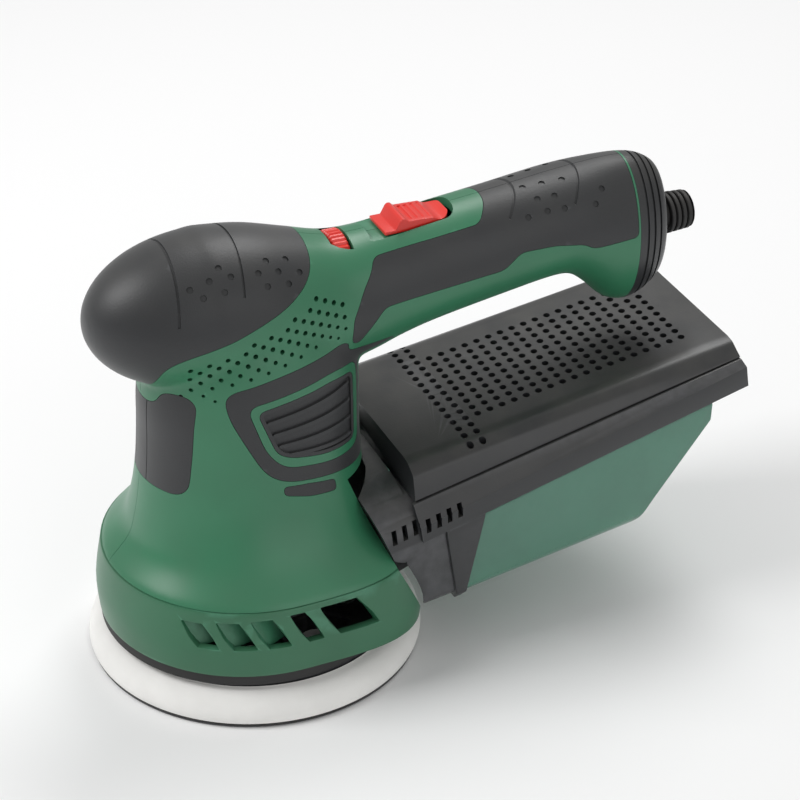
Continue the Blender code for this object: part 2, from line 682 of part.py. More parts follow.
def pad_parts():
    centre = (0, ORBIT)
    cut_dust_holes(disc("hook_face", PAD_RADIUS - 0.0008, 0.0, 0.0010, centre, 36))
    foam = turned("foam_pad", [(0.0, 0.0013), (PAD_RADIUS - 0.0004, 0.0013), (PAD_RADIUS, 0.0040),
                               (PAD_RADIUS - 0.0022, 0.0085), (PAD_RADIUS - 0.0075, 0.0128),
                               (PLATE_RADIUS + GAP, 0.0128), (PLATE_RADIUS + GAP, 0.0105), (0.0, 0.0105)],
                  centre, 36)
    cut_dust_holes(foam)
    plate = turned("backing_plate", [(0.0, 0.0108), (PLATE_RADIUS, 0.0108), (PLATE_RADIUS, 0.0140),
                                     (PLATE_RADIUS - 0.0020, 0.0140), (PLATE_RADIUS - 0.0030, 0.0128),
                                     (0.0275, 0.0128), (0.0265, 0.0175), (0.0140, 0.0175), (0.0140, 0.0150),
                                     (0.0, 0.0150)], centre, 36)
    cut_dust_holes(plate)
    driver = turned("pad_driver", [(0.0, 0.0153), (0.0137, 0.0153), (0.0137, 0.0178), (0.0240, 0.0178),
                                   (0.0240, 0.0205), (0.0100, 0.0215), (0.0085, 0.0247),
                                   (PAD_BEARING[0] - GAP, 0.0247), (PAD_BEARING[0] - GAP, 0.0322),
                                   (0.0, 0.0322)],
                    centre)
    ring("pad_bearing_inner_ring", PAD_BEARING[0], PAD_BEARING[1], 0.0250, 0.0320, centre)
    for k in range(4):
        pad_screw(plate, driver, k)


def pad_screw(plate, driver, number):
    """One screw from under the pad through the plate into the driver."""
    spot = on_pad(SCREW_CIRCLE, 90 * number + 45)
    cut(plate, disc("bore", 0.0019, 0.0, 0.03, spot, 8), disc("sink", 0.0042, 0.0, 0.0132, spot, 8))
    cut(driver, disc("thread", 0.0019, 0.0, 0.0300, spot, 12))
    cut(bpy.data.objects["foam_pad"], disc("access", 0.0045, -0.01, 0.03, spot, 8))
    cut(bpy.data.objects["hook_face"], disc("access", 0.0045, -0.01, 0.03, spot, 8))
    screw = turned(f"pad_screw_{number + 1}",
                   [(0.0, 0.0110), (0.0036, 0.0110), (0.0039, 0.0129), (0.0016, 0.0129), (0.0016, 0.0200),
                    (0.0, 0.0200)], spot, 12)
    cut(screw, box("drive", (spot[0] - 0.0003, spot[1] - 0.0022, 0.0),
                   (spot[0] + 0.0003, spot[1] + 0.0022, 0.0118)))


# ================================================================ controls
def slide_switch():
    """Thumb slide in the top panel; the link reaches down through the slot."""
    front, base = SLIDE[0] + RIDGE, PANEL + 0.0004
    slide = box("slide_switch", (-SLIDE_HALF, SLIDE[0], base), (SLIDE_HALF, SLIDE[1], base + 0.0028))
    cut(slide, box("step", (-0.02, 0.0, base + 0.0014), (0.02, front - RUN, 0.18)))
    for k in range(4):
        y = front + 0.0088 + 0.0032 * k
        cut(slide, box("groove", (-0.0055, y, base + 0.0018), (0.0055, y + 0.0013, 0.17)))
    ridge = [(front + 0.0002, base + 0.0021), (front + 0.0063, base + 0.0021),
             (front + 0.0045, base + 0.0058), (front + 0.0023, base + 0.0058)]
    join(slide, prism("ridge", ridge, -SLIDE_HALF + RUN, SLIDE_HALF - RUN, along_x))
    box("switch_link", (-LINK_HALF, LINK[0], 0.1538), (LINK_HALF, LINK[1], base - GAP))


def handle_electrics():
    """The switch and the speed board inside the handle."""
    box("switch_body", (-0.0090, 0.0600, 0.1380), (0.0090, 0.0900, 0.1530))
    box("speed_controller", (-0.0090, 0.0420, 0.1360), (0.0090, 0.0560, 0.1530))


def speed_dial():
    """Thumbwheel on an axis along the handle."""
    outline = []
    for k in range(24):
        radius = DIAL_RADIUS if k % 2 else DIAL_RADIUS - 0.0007
        outline += circle(radius, (DIAL_CENTRE[0], DIAL_CENTRE[2]), 24)[k:k + 1]
    half = DIAL_WIDTH / 2
    dial = prism("speed_dial", outline, DIAL_CENTRE[1] - half, DIAL_CENTRE[1] + half, along_y)
    cut(dial, prism("bore", circle(0.0022, (0, DIAL_CENTRE[2]), 16), 0, 0.1, along_y))


# ================================================================ dust box
def tilted(x, s, t):
    """A point from the dust box's own frame: x, distance back along the lid, height above the lid."""
    c, n = math.cos(DUST_SLOPE), math.sin(DUST_SLOPE)
    return (x, DUST_PIVOT[0] + s * c - t * n, DUST_PIVOT[1] + s * n + t * c)


def tilted_side(a, b, c):
    return tilted(c, a, b)


def tilted_plan(a, b, c):
    return tilted(a, b, c)


def taper(s, values=FRAME_HALF):
    return values[0] + (values[1] - values[0]) * max(0.0, s) / DUST_LENGTH


def level(line, s, away=0.0):
    """Height of one of the box's edge lines at the distance `s`."""
    return line[0] + line[1] * s + away


def section_loft(name, stations, shape):
    """A loft along the dust box through shape(s), a list of (x, t) pairs."""
    return loft(name, [[tilted(x, s, t) for x, t in shape(s)] for s in stations])


def arch_form(grow, near, far):
    """The rounded front block of the box, from `near` to `far` along the lid."""
    def shape(s):
        half, top, low, foot = taper(s) + grow, -0.0070 + grow, -DUST_DEPTH - grow, -0.0300
        points = [(power(math.cos(a), 0.62) * half, foot + power(math.sin(a), 0.8) * (top - foot))
                  for a in (math.pi * k / 14 for k in range(15))]
        return points + [(-half, low + 0.004), (-half + 0.004, low), (half - 0.004, low), (half, low + 0.004)]
    return section_loft("arch", (near, far), shape)


def tray(name, half, top, low, stations, edge=0.0):
    """A straight-sided body; half(s), top(s) and low(s) give its section, `edge` cuts the lower corners."""
    def shape(s):
        x, high, deep = half(s), top(s), low(s)
        if edge:
            return [(x, deep + edge), (x, high), (-x, high), (-x, deep + edge),
                    (-x + edge, deep), (x - edge, deep)]
        return [(x, deep), (x, high), (-x, high), (-x, deep)]
    return section_loft(name, stations, shape)


def lid_section(s, grow=0.0):
    """Half widths and heights of the lid's outer face, from the foot up to the flat top."""
    foot = level(LID_FOOT, s)
    return [(taper(s) - 0.0042 + grow, foot), (taper(s) - 0.0072 + grow, -0.0030 + grow),
            (0.0345 + grow, -0.0006 + grow),
            (0.0310, grow)]


def dust_box_lid():
    def outer(s):
        side = lid_section(s)
        return side + [(-x, t) for x, t in reversed(side)]

    def inner(s):
        side = lid_section(s, -DUST_WALL)
        side[0] = (side[0][0], side[0][1] - 0.005)
        return side + [(-x, t) for x, t in reversed(side)]
    lid = section_loft("dust_box_lid", (-0.0060, DUST_LENGTH), outer)
    cut(lid, prism("front", [(-0.0008, 0.01), (-0.0052, -0.0135), (-0.02, -0.0135), (-0.02, 0.01)],
                   -0.1, 0.1, tilted_side))
    return cut(lid, section_loft("inner", (0.0026, DUST_LENGTH - DUST_WALL), inner))


def junction(grow=0.0):
    """Region of the clear bin: behind the slanted end of the black mouth and under the frame."""
    start, end = 0.0197, DUST_LENGTH + 0.05
    return prism("junction", [(start - grow, level(FRAME_FOOT, start, grow)), (0.0054 - grow, -0.0615),
                              (0.0052 - grow, -0.08), (end, -0.08), (end, level(FRAME_FOOT, end, grow))],
                 -0.1, 0.1, tilted_side)


def dust_box_mouth():
    """Front block and the frame round the lid, one black moulding open to the front, top and below."""
    mouth = cut(arch_form(0.0, -0.060, 0.020), arch_form(-DUST_WALL, -0.061, 0.030))
    frame = tray("frame", taper, lambda s: level(LID_FOOT, s, -GAP), lambda s: level(FRAME_FOOT, s),
                 (-0.006, DUST_LENGTH))
    cut(frame, tray("well", lambda s: taper(s) - 0.0052, lambda s: 0.01, lambda s: -0.05,
                    (-0.010, DUST_LENGTH - 0.0040)))
    chamfer_frame(frame)
    join(mouth, frame)
    cut(mouth, junction())
    join(mouth, tray("floor", lambda s: taper(s) - 0.001, lambda s: level(FRAME_FOOT, s, 0.0022),
                     lambda s: level(FRAME_FOOT, s), (DUST_LENGTH - 0.0120, DUST_LENGTH - 0.001)))
    cut(mouth, before_rear_face(GAP), body_form(0.0008), skirt_form(0.0008, 0.01, 0.001),
        tray("filter_well", lambda s: 0.0395, lambda s: 0.01, lambda s: level(LID_FOOT, s, -0.0085),
             (0.0080, DUST_LENGTH - 0.0060)),
        tray("under_lid", lambda s: 0.0440, lambda s: 0.01, lambda s: level(LID_FOOT, s, -GAP),
             (-0.0065, 0.021)))
    for k in range(7):
        s = -0.0170 + 0.0043 * k
        foot = level(BAND_FOOT, s)
        slot = box("slot", (0.0400, s, foot - 0.0030), (0.1, s + 0.0018, foot + 0.0018))
        slot.data.transform(tilt_matrix())
        cut(mouth, *both_sides(slot))
    mouth.name = "dust_box_mouth"
    return mouth


def tilt_matrix():
    return Matrix.Translation((0, *DUST_PIVOT)) @ Matrix.Rotation(DUST_SLOPE, 4, "X")


def before_rear_face(away):
    """Everything in front of the housing's leaning rear face, moved back by `away`."""
    low, high = -0.02, REAR_TOP - GAP
    line = [(REAR_FACE - REAR_LEAN * z + away, z) for z in (low, high)]
    return prism("front", [line[0], line[1], (line[1][0], 0.2), (-0.2, 0.2), (-0.2, low)], -0.1, 0.1, along_x)


def chamfer_frame(frame):
    """Slopes the frame's upper outer edge, the bright band under the lid."""
    for side in (1, -1):
        def shape(s, side=side):
            half, head, foot = taper(s), level(LID_FOOT, s), level(BAND_FOOT, s)
            return [(side * (half - 0.0040), head + 0.0002), (side * (half + 0.0100), head + 0.0002),
                    (side * (half + 0.0100), foot), (side * (half + 0.0001), foot)]
        cut(frame, section_loft("chamfer", (-0.02, DUST_LENGTH + 0.01), shape))


def dust_container():
    """Clear bin under the frame, open to the top and to the mouth."""
    def half(s):
        return taper(s) - 0.0012
    body = tray("dust_container", half, lambda s: level(FRAME_FOOT, s, -GAP), lambda s: -DUST_DEPTH,
                (-0.010, DUST_LENGTH - 0.0125), 0.0045)
    slope = [(-0.0530, -0.0605), (-0.0425, -0.0500), (-0.0160, -0.0250), (-0.0130, -0.0100), (-0.0130, 0.02),
             (0.0190, 0.02), (0.0190, -0.08), (-0.0530, -0.08)]
    rear = [(DUST_LENGTH + a, b) for a, b in slope]
    cut(body, prism("rear", rear, -0.1, 0.1, tilted_side))
    hollow = tray("hollow", lambda s: half(s) - DUST_WALL, lambda s: 0.01, lambda s: -DUST_DEPTH + DUST_WALL,
                  (-0.02, DUST_LENGTH - 0.013), 0.004)
    cut(hollow, prism("rear", [(a - 0.0028, b) for a, b in rear], -0.1, 0.1, tilted_side))
    cut(body, hollow)
    keep(body, junction(-GAP))


def filter_parts():
    """The filter's frame under the lid and the pleated paper in it."""
    def low(s):
        return level(LID_FOOT, s, -0.0040)
    frame = tray("filter_frame", lambda s: 0.0385, lambda s: low(s) + 0.0020, low,
                 (0.0090, DUST_LENGTH - 0.0070))
    cut(frame, tray("window", lambda s: 0.0335, lambda s: 0.02, lambda s: -0.05,
                    (0.0130, DUST_LENGTH - 0.0110)))
    count = 18
    fold = (DUST_LENGTH - 0.0290) / (count - 1)
    upper = []
    for k in range(count):
        s = 0.0136 + fold * k
        upper.append((s, low(s) + 0.0008 + (0.0022 if k % 2 else -0.0030)))
    lower = [(s, t - 0.0013) for s, t in reversed(upper)]
    prism("filter_element", upper + lower, -0.0332, 0.0332, tilted_side)


# ================================================================ finish and assembly
GREEN, DARK_GREEN, CLEAR_GREEN = (0.045, 0.220, 0.125, 1), (0.026, 0.135, 0.070, 1), (0.10, 0.30, 0.20, 1)
SOFT, BLACK, RED = (0.040, 0.043, 0.047, 1), (0.016, 0.016, 0.017, 1), (0.78, 0.045, 0.030, 1)
FOAM = (0.80, 0.79, 0.76, 1)
STEEL, COPPER, LAMINATE = (0.62, 0.62, 0.63, 1), (0.72, 0.32, 0.15, 1), (0.30, 0.30, 0.32, 1)
CARBON, PAPER, NYLON = (0.05, 0.05, 0.05, 1), (0.74, 0.70, 0.58, 1), (0.20, 0.20, 0.21, 1)
FINISHES = [
    (("housing_shell",), GREEN, 0.0, 0.42), (("base_skirt",), DARK_GREEN, 0.0, 0.42),
    (("dust_container",), CLEAR_GREEN, 0.0, 0.18), (("_grip", "neck_pad", "_insert"), SOFT, 0.0, 0.68),
    (("slide_switch", "speed_dial"), RED, 0.0, 0.38), (("foam_pad",), FOAM, 0.0, 0.92),
    (("screw", "_ring", "motor_shaft"), STEEL, 1.0, 0.32),
    (("coil", "winding", "commutator"), COPPER, 1.0, 0.35),
    (("_core",), LAMINATE, 1.0, 0.5), (("carbon_brush",), CARBON, 0.0, 0.6),
    (("filter_element",), PAPER, 0.0, 0.9), (("bridge", "fan"), NYLON, 0.0, 0.5),
]


def give_material(obj):
    """Each piece gets a Principled material of its own."""
    colour, metal, rough = BLACK, 0.0, 0.5
    for words, own_colour, own_metal, own_rough in FINISHES:
        if any(word in obj.name for word in words) and obj.name != "brake_ring":
            colour, metal, rough = own_colour, own_metal, own_rough
            break
    material = bpy.data.materials.new(obj.name)
    material.use_nodes = True
    material.diffuse_color = colour
    shader = material.node_tree.nodes["Principled BSDF"]
    shader.inputs["Base Color"].default_value = colour
    shader.inputs["Metallic"].default_value = metal
    shader.inputs["Roughness"].default_value = rough
    obj.data.materials.clear()
    obj.data.materials.append(material)


def shade(obj):
    """Curved faces are shaded smooth, with the real edges kept sharp."""
    obj.data.shade_smooth()
    obj.data.set_sharp_from_angle(angle=math.radians(32))


JOINT_POINTS = {
    (0.0, 0.0, 0.0): ("motor_shaft", "armature_core", "lower_armature_winding", "upper_armature_winding",
                      "commutator", "lower_bearing_inner_ring", "upper_bearing_inner_ring",
                      "fan_counterweight", "pad_bearing_outer_ring"),
    (0.0, ORBIT, 0.0): ("pad_bearing_inner_ring", "pad_driver", "backing_plate", "foam_pad", "hook_face",
                         "pad_screw_1", "pad_screw_2", "pad_screw_3", "pad_screw_4"),
    (0.0, 0.0680, 0.1600): ("slide_switch", "switch_link"),
    DIAL_CENTRE: ("speed_dial",),
    (0.0, DUST_PIVOT[0], DUST_PIVOT[1]): ("dust_box_lid", "dust_box_mouth", "filter_frame", "filter_element",
                                          "dust_container"),
}


def place_origins():
    """Puts each moving piece's origin on its joint."""
    for point, names in JOINT_POINTS.items():
        for name in names:
            obj = bpy.data.objects[name]
            obj.data.transform(Matrix.Translation(-Vector(point)))
            obj.location = point


def main():
    clear_scene()
    soft_grips()
    housing_shells()
    housing_screws()
    rear_cap()
    cord_gland()
    base_skirt()
    brake_ring()
    exhaust_duct()
    port_seal()
    bearing_bridge()
    motor_fixed_parts()
    motor_turning_parts()
    fan_counterweight()
    pad_parts()
    slide_switch()
    handle_electrics()
    speed_dial()
    dust_box_lid()
    dust_box_mouth()
    dust_container()
    filter_parts()
    place_origins()
    for obj in bpy.data.objects:
        give_material(obj)
        shade(obj)


if __name__ == "__main__":
    main()
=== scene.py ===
"""Random orbit sander: the finished surfaces and materials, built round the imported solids.

Units are metres. +Z is up, the front knob points along -Y and the dust box along +Y. The origin
lies on the motor's axis in the plane of the sanding face.
"""

import json
import logging
import math
from collections.abc import Callable, Iterable, Sequence
from dataclasses import dataclass, field
from enum import Enum
from functools import partial

import bmesh
import bpy
import numpy as np
from mathutils import Matrix, Vector
from mathutils.bvhtree import BVHTree

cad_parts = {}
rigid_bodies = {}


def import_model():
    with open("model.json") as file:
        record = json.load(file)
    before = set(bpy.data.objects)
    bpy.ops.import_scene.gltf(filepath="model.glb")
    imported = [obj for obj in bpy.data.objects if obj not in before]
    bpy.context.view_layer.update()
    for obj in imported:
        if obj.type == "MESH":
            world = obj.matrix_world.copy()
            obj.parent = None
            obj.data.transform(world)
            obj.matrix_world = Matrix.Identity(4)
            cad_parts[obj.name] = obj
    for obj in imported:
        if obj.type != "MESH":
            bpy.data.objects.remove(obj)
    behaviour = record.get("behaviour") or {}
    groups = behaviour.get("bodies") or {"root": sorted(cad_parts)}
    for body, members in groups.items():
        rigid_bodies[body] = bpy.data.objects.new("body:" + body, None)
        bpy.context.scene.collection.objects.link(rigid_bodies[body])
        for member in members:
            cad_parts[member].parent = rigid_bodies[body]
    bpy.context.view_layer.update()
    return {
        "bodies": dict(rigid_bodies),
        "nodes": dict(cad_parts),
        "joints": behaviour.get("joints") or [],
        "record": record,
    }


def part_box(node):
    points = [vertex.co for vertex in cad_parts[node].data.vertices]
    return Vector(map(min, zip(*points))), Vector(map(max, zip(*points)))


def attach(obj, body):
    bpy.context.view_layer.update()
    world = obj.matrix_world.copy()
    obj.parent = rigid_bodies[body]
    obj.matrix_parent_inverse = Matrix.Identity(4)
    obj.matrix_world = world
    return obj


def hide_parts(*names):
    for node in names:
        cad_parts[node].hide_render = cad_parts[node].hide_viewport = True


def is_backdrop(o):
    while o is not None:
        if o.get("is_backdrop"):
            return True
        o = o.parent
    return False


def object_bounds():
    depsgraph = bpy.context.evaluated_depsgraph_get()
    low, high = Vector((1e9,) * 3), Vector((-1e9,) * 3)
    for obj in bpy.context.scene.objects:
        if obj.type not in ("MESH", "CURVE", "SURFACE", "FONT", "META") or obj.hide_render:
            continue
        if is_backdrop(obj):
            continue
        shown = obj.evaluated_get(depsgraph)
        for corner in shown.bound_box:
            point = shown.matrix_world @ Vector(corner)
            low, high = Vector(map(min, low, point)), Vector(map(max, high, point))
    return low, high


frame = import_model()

LOG = logging.getLogger("sander")

Pair = tuple[float, float]
Point = tuple[float, float, float]
Colour = tuple[float, float, float, float]
Place = Callable[[float, float, float], Point]
Object = bpy.types.Object
Sockets = bpy.types.bpy_prop_collection

GAP = 0.0003
SEAM = 0.0001
FINE_ANGLE = math.radians(32)


class Body(str, Enum):
    """The bodies that pieces ride on."""

    HOUSING = "housing"
    ROTOR = "rotor"
    PAD = "pad"
    SLIDER = "slider"
    DIAL = "dial"
    DUST_BOX = "dust_box"
    CONTAINER = "container"


class Slot(str, Enum):
    """The record's material slots."""

    GREEN = "green_plastic"
    DARK_GREEN = "dark_green_plastic"
    SOFT = "soft_grip"
    BLACK = "black_plastic"
    RED = "red_plastic"
    CLEAR = "clear_green_plastic"
    FOAM = "foam"
    HOOK = "hook_fabric"
    RUBBER = "rubber"
    STEEL = "bearing_steel"
    LAMINATE = "laminated_steel"
    COPPER = "copper"
    CARBON = "carbon"
    NYLON = "inner_plastic"
    PAPER = "filter_paper"


class Solve(str, Enum):
    """What a Boolean does with its tool."""

    CUT = "DIFFERENCE"
    JOIN = "UNION"
    KEEP = "INTERSECT"


# ================================================================ plain shapes
def link(name: str, bm: bmesh.types.BMesh) -> Object:
    """Turns the faces outwards and links the mesh.

    Args:
        name: Name of the new object.
        bm: The mesh; it is freed.

    Returns:
        The new object.
    """
    bmesh.ops.recalc_face_normals(bm, faces=bm.faces)
    mesh = bpy.data.meshes.new(name)
    bm.to_mesh(mesh)
    bm.free()
    obj = bpy.data.objects.new(name, mesh)
    bpy.context.scene.collection.objects.link(obj)
    return obj


def loft(rings: Sequence[Sequence[Point]], name: str = "loft") -> Object:
    """A closed body through rings of equal point counts.

    Args:
        rings: The rings in order; the first and the last are capped.
        name: Name of the new object.

    Returns:
        The new object.
    """
    bm = bmesh.new()
    loops = [[bm.verts.new(point) for point in ring] for ring in rings]
    count = len(rings[0])
    for low, high in zip(loops, loops[1:]):
        for i in range(count):
            j = (i + 1) % count
            bm.faces.new((low[i], low[j], high[j], high[i]))
    bm.faces.new(loops[0])
    bm.faces.new(loops[-1])
    return link(name, bm)


def along_x(a: float, b: float, c: float) -> Point:
    """Side view: a runs back, b up and c to the right."""
    return (c, a, b)


def along_y(a: float, b: float, c: float) -> Point:
    """Front view: a runs to the right, b up and c back."""
    return (a, c, b)


def along_z(a: float, b: float, c: float) -> Point:
    """Plan view: a runs to the right, b back and c up."""
    return (a, b, c)


def prism(outline: Sequence[Pair], start: float, end: float, place: Place) -> Object:
    """An outline drawn out between two distances.

    Args:
        outline: Corners as pairs.
        start: Where the body begins.
        end: Where it ends.
        place: Gives the point for a pair and a distance.

    Returns:
        The new object.
    """
    return loft([[place(a, b, c) for a, b in outline] for c in (start, end)], "prism")


def box(low: Point, high: Point) -> Object:
    """A block between two corners."""
    (x0, y0, z0), (x1, y1, z1) = low, high
    return prism([(x0, y0), (x1, y0), (x1, y1), (x0, y1)], z0, z1, along_z)


def circle(radius: float, centre: Pair = (0.0, 0.0), count: int = 48, turn: float = 0.0) -> list[Pair]:
    """Points evenly round a circle."""
    steps = (turn + 2 * math.pi * i / count for i in range(count))
    return [(centre[0] + radius * math.cos(a), centre[1] + radius * math.sin(a)) for a in steps]


def disc(radius: float, z0: float, z1: float, centre: Pair = (0.0, 0.0), count: int = 48) -> Object:
    """An upright cylinder."""
    return prism(circle(radius, centre, count), z0, z1, along_z)


def turned(profile: Sequence[Pair], centre: Pair = (0.0, 0.0), count: int = 96) -> Object:
    """A profile turned about the vertical axis through a centre.

    Args:
        profile: Radius and height pairs. Where none lies on the axis the profile is a closed ring.
        centre: Place of the axis.
        count: Steps round the axis.

    Returns:
        The new object.
    """
    bm = bmesh.new()
    loops = []
    for radius, z in profile:
        if radius == 0:
            loops.append([bm.verts.new((centre[0], centre[1], z))] * count)
        else:
            loops.append([bm.verts.new((x, y, z)) for x, y in circle(radius, centre, count)])
    closed = all(radius > 0 for radius, _ in profile)
    for low, high in zip(loops, loops[1:] + loops[:1] if closed else loops[1:]):
        for i in range(count):
            j = (i + 1) % count
            corners = list(dict.fromkeys((low[i], low[j], high[j], high[i])))
            if len(corners) > 2:
                bm.faces.new(corners)
    return link("turned", bm)


def rounded(outline: Sequence[Pair], radius: float, steps: int = 8) -> list[Pair]:
    """The outline with each corner replaced by a curve.

    Args:
        outline: Corners of a closed outline.
        radius: How far from the corner the curve begins.
        steps: Pieces in each curve.

    Returns:
        The rounded outline.
    """
    result = []
    for i, corner in enumerate(outline):
        middle = Vector(corner)
        before = Vector(outline[i - 1]) - middle
        after = Vector(outline[(i + 1) % len(outline)]) - middle
        start = middle + before.normalized() * min(radius, before.length * 0.48)
        end = middle + after.normalized() * min(radius, after.length * 0.48)
        for k in range(steps + 1):
            t = k / steps
            point = start * (1 - t) ** 2 + middle * 2 * t * (1 - t) + end * t * t
            result.append((point.x, point.y))
    return result


def offset(outline: Sequence[Pair], distance: float) -> list[Pair]:
    """The outline moved outwards, with mitred corners.

    Args:
        outline: Corners of a closed outline, either way round.
        distance: How far it moves; negative moves it inwards.

    Returns:
        The moved outline.
    """
    count = len(outline)
    area = sum(outline[i - 1][0] * outline[i][1] - outline[i][0] * outline[i - 1][1] for i in range(count))
    side = 1 if area > 0 else -1
    result = []
    for i, corner in enumerate(outline):
        before = (Vector(corner) - Vector(outline[i - 1])).normalized()
        after = (Vector(outline[(i + 1) % count]) - Vector(corner)).normalized()
        normal = Vector((before.y + after.y, -before.x - after.x)) * side
        normal.normalize()
        share = max(0.35, normal.dot(Vector((before.y, -before.x)) * side))
        point = Vector(corner) + normal * (distance / share)
        result.append((point.x, point.y))
    return result


def inside(outline: Sequence[Pair], point: Pair) -> bool:
    """Whether a point lies in a closed outline.

    Args:
        outline: Its corners.
        point: The point.

    Returns:
        True inside, False outside.
    """
    found = False
    for (ax, ay), (bx, by) in zip(outline, [*outline[1:], outline[0]]):
        if (ay > point[1]) != (by > point[1]) and point[0] < ax + (point[1] - ay) * (bx - ax) / (by - ay):
            found = not found
    return found


def spline(stations: Sequence[Sequence[float]], steps: int) -> list[list[float]]:
    """Rows read from a smooth curve through stations.

    Args:
        stations: Rows of equal length.
        steps: Rows made for each interval.

    Returns:
        The finer rows, with the stations among them.
    """
    last = len(stations) - 1
    rows = []
    for i in range(last):
        four = (stations[max(i - 1, 0)], stations[i], stations[i + 1], stations[min(i + 2, last)])
        for k in range(steps):
            t = k / steps
            rows.append([
                0.5 * (2 * b + (c - a) * t + (2 * a - 5 * b + 4 * c - d) * t * t
                       + (3 * b - a - 3 * c + d) * t**3)
                for a, b, c, d in zip(*four)
            ])
    return [*rows, list(stations[last])]


def power(value: float, exponent: float) -> float:
    """Signed power, for superellipses."""
    return math.copysign(abs(value) ** exponent, value)


# ================================================================ working on shapes
def plain(obj: Object) -> Object:
    """Replaces the object's mesh by what its modifiers make, and removes them."""
    graph = bpy.context.evaluated_depsgraph_get()
    mesh = bpy.data.meshes.new_from_object(obj.evaluated_get(graph))
    obj.modifiers.clear()
    obj.data = mesh
    return obj


def boolean(target: Object, tool: Object, solve: Solve, spare: bool = False) -> Object:
    """Applies one Boolean.

    Args:
        target: The object that changes.
        tool: The object that it is combined with.
        solve: What is done with the tool.
        spare: Whether the tool is kept.

    Returns:
        The target.
    """
    modifier = target.modifiers.new("boolean", "BOOLEAN")
    modifier.operation = solve.value
    modifier.solver = "MANIFOLD"
    modifier.object = tool
    plain(target)
    if not spare:
        bpy.data.objects.remove(tool)
    return target


def cut(target: Object, *tools: Object) -> Object:
    """Takes the tools out of the target."""
    for tool in tools:
        boolean(target, tool, Solve.CUT)
    return target


def join(target: Object, *tools: Object) -> Object:
    """Adds the tools to the target."""
    for tool in tools:
        boolean(target, tool, Solve.JOIN)
    return target


def keep(target: Object, tool: Object) -> Object:
    """Keeps what the target and the tool share."""
    return boolean(target, tool, Solve.KEEP)


def twin(obj: Object) -> Object:
    """A copy with a mesh of its own."""
    copy = bpy.data.objects.new("twin", obj.data.copy())
    bpy.context.scene.collection.objects.link(copy)
    return copy


def turned_by(obj: Object, matrix: Matrix) -> Object:
    """Moves the mesh by a matrix, keeping its faces outwards.

    Args:
        obj: The object.
        matrix: The move, which may mirror.

    Returns:
        The same object.
    """
    obj.data.transform(matrix)
    if matrix.determinant() < 0:
        obj.data.flip_normals()
    return obj


def mirrored(obj: Object) -> Object:
    """A copy on the other side of the middle plane."""
    return turned_by(twin(obj), Matrix.Scale(-1, 4, (1, 0, 0)))


def both_sides(tool: Object) -> list[Object]:
    """The tool and its mirror image."""
    return [tool, mirrored(tool)]


def moved_out(obj: Object, distance: float) -> Object:
    """A copy whose surface is moved along its normals.

    Args:
        obj: The body.
        distance: How far; negative moves it inwards.

    Returns:
        The copy.
    """
    copy = twin(obj)
    mesh = copy.data
    places = np.empty(len(mesh.vertices) * 3)
    normals = np.empty(len(mesh.vertices) * 3, np.float32)
    mesh.vertices.foreach_get("co", places)
    mesh.vertex_normals.foreach_get("vector", normals)
    mesh.vertices.foreach_set("co", places + normals * distance)
    mesh.update()
    return copy


def bevelled(obj: Object, width: float, segments: int = 3, angle: float = 35.0) -> Object:
    """Rounds the sharp edges of a clean shape.

    Args:
        obj: The shape.
        width: Width of the rounding.
        segments: Steps in it.
        angle: Least angle between two faces that makes an edge sharp, in degrees.

    Returns:
        The same object.
    """
    modifier = obj.modifiers.new("bevel", "BEVEL")
    modifier.width = width
    modifier.segments = segments
    modifier.limit_method = "ANGLE"
    modifier.angle_limit = math.radians(angle)
    modifier.use_clamp_overlap = True
    return plain(obj)


def remeshed(obj: Object, voxel: float, rounds: int) -> Object:
    """Makes one even surface of a joined body and relaxes its inner corners.

    Args:
        obj: The body.
        voxel: Size of the new faces.
        rounds: Smoothing steps.

    Returns:
        The same object.
    """
    remesh = obj.modifiers.new("remesh", "REMESH")
    remesh.mode = "VOXEL"
    remesh.voxel_size = voxel
    smooth = obj.modifiers.new("smooth", "SMOOTH")
    smooth.factor = 0.5
    smooth.iterations = rounds
    return plain(obj)


def merged(parts: Iterable[Object], name: str = "merged") -> Object:
    """One object that holds the meshes of several.

    Args:
        parts: The objects; they are removed.
        name: Name of the new object.

    Returns:
        The new object.
    """
    bm = bmesh.new()
    for part in parts:
        bm.from_mesh(part.data)
        bpy.data.objects.remove(part)
    mesh = bpy.data.meshes.new(name)
    bm.to_mesh(mesh)
    bm.free()
    obj = bpy.data.objects.new(name, mesh)
    bpy.context.scene.collection.objects.link(obj)
    return obj


# ================================================================ node trees
def feed(tree: bpy.types.NodeTree, socket: bpy.types.NodeSocket, value: object) -> None:
    """Links an input to another node's output, or gives it a plain value.

    Args:
        tree: The tree.
        socket: The input.
        value: An output socket or a value.
    """
    if isinstance(value, bpy.types.NodeSocket):
        tree.links.new(value, socket)
    else:
        socket.default_value = value


def add(tree: bpy.types.NodeTree, kind: str, inputs: dict[object, object],
        **settings: object) -> bpy.types.Node:
    """Adds a node to a tree.

    Args:
        tree: The tree.
        kind: The node's type.
        inputs: An output socket or a value for each input, by name or number.
        **settings: The node's own settings.

    Returns:
        The node.
    """
    node = tree.nodes.new(kind)
    for name, value in settings.items():
        setattr(node, name, value)
    for label, value in inputs.items():
        feed(tree, node.inputs[label], value)
    return node


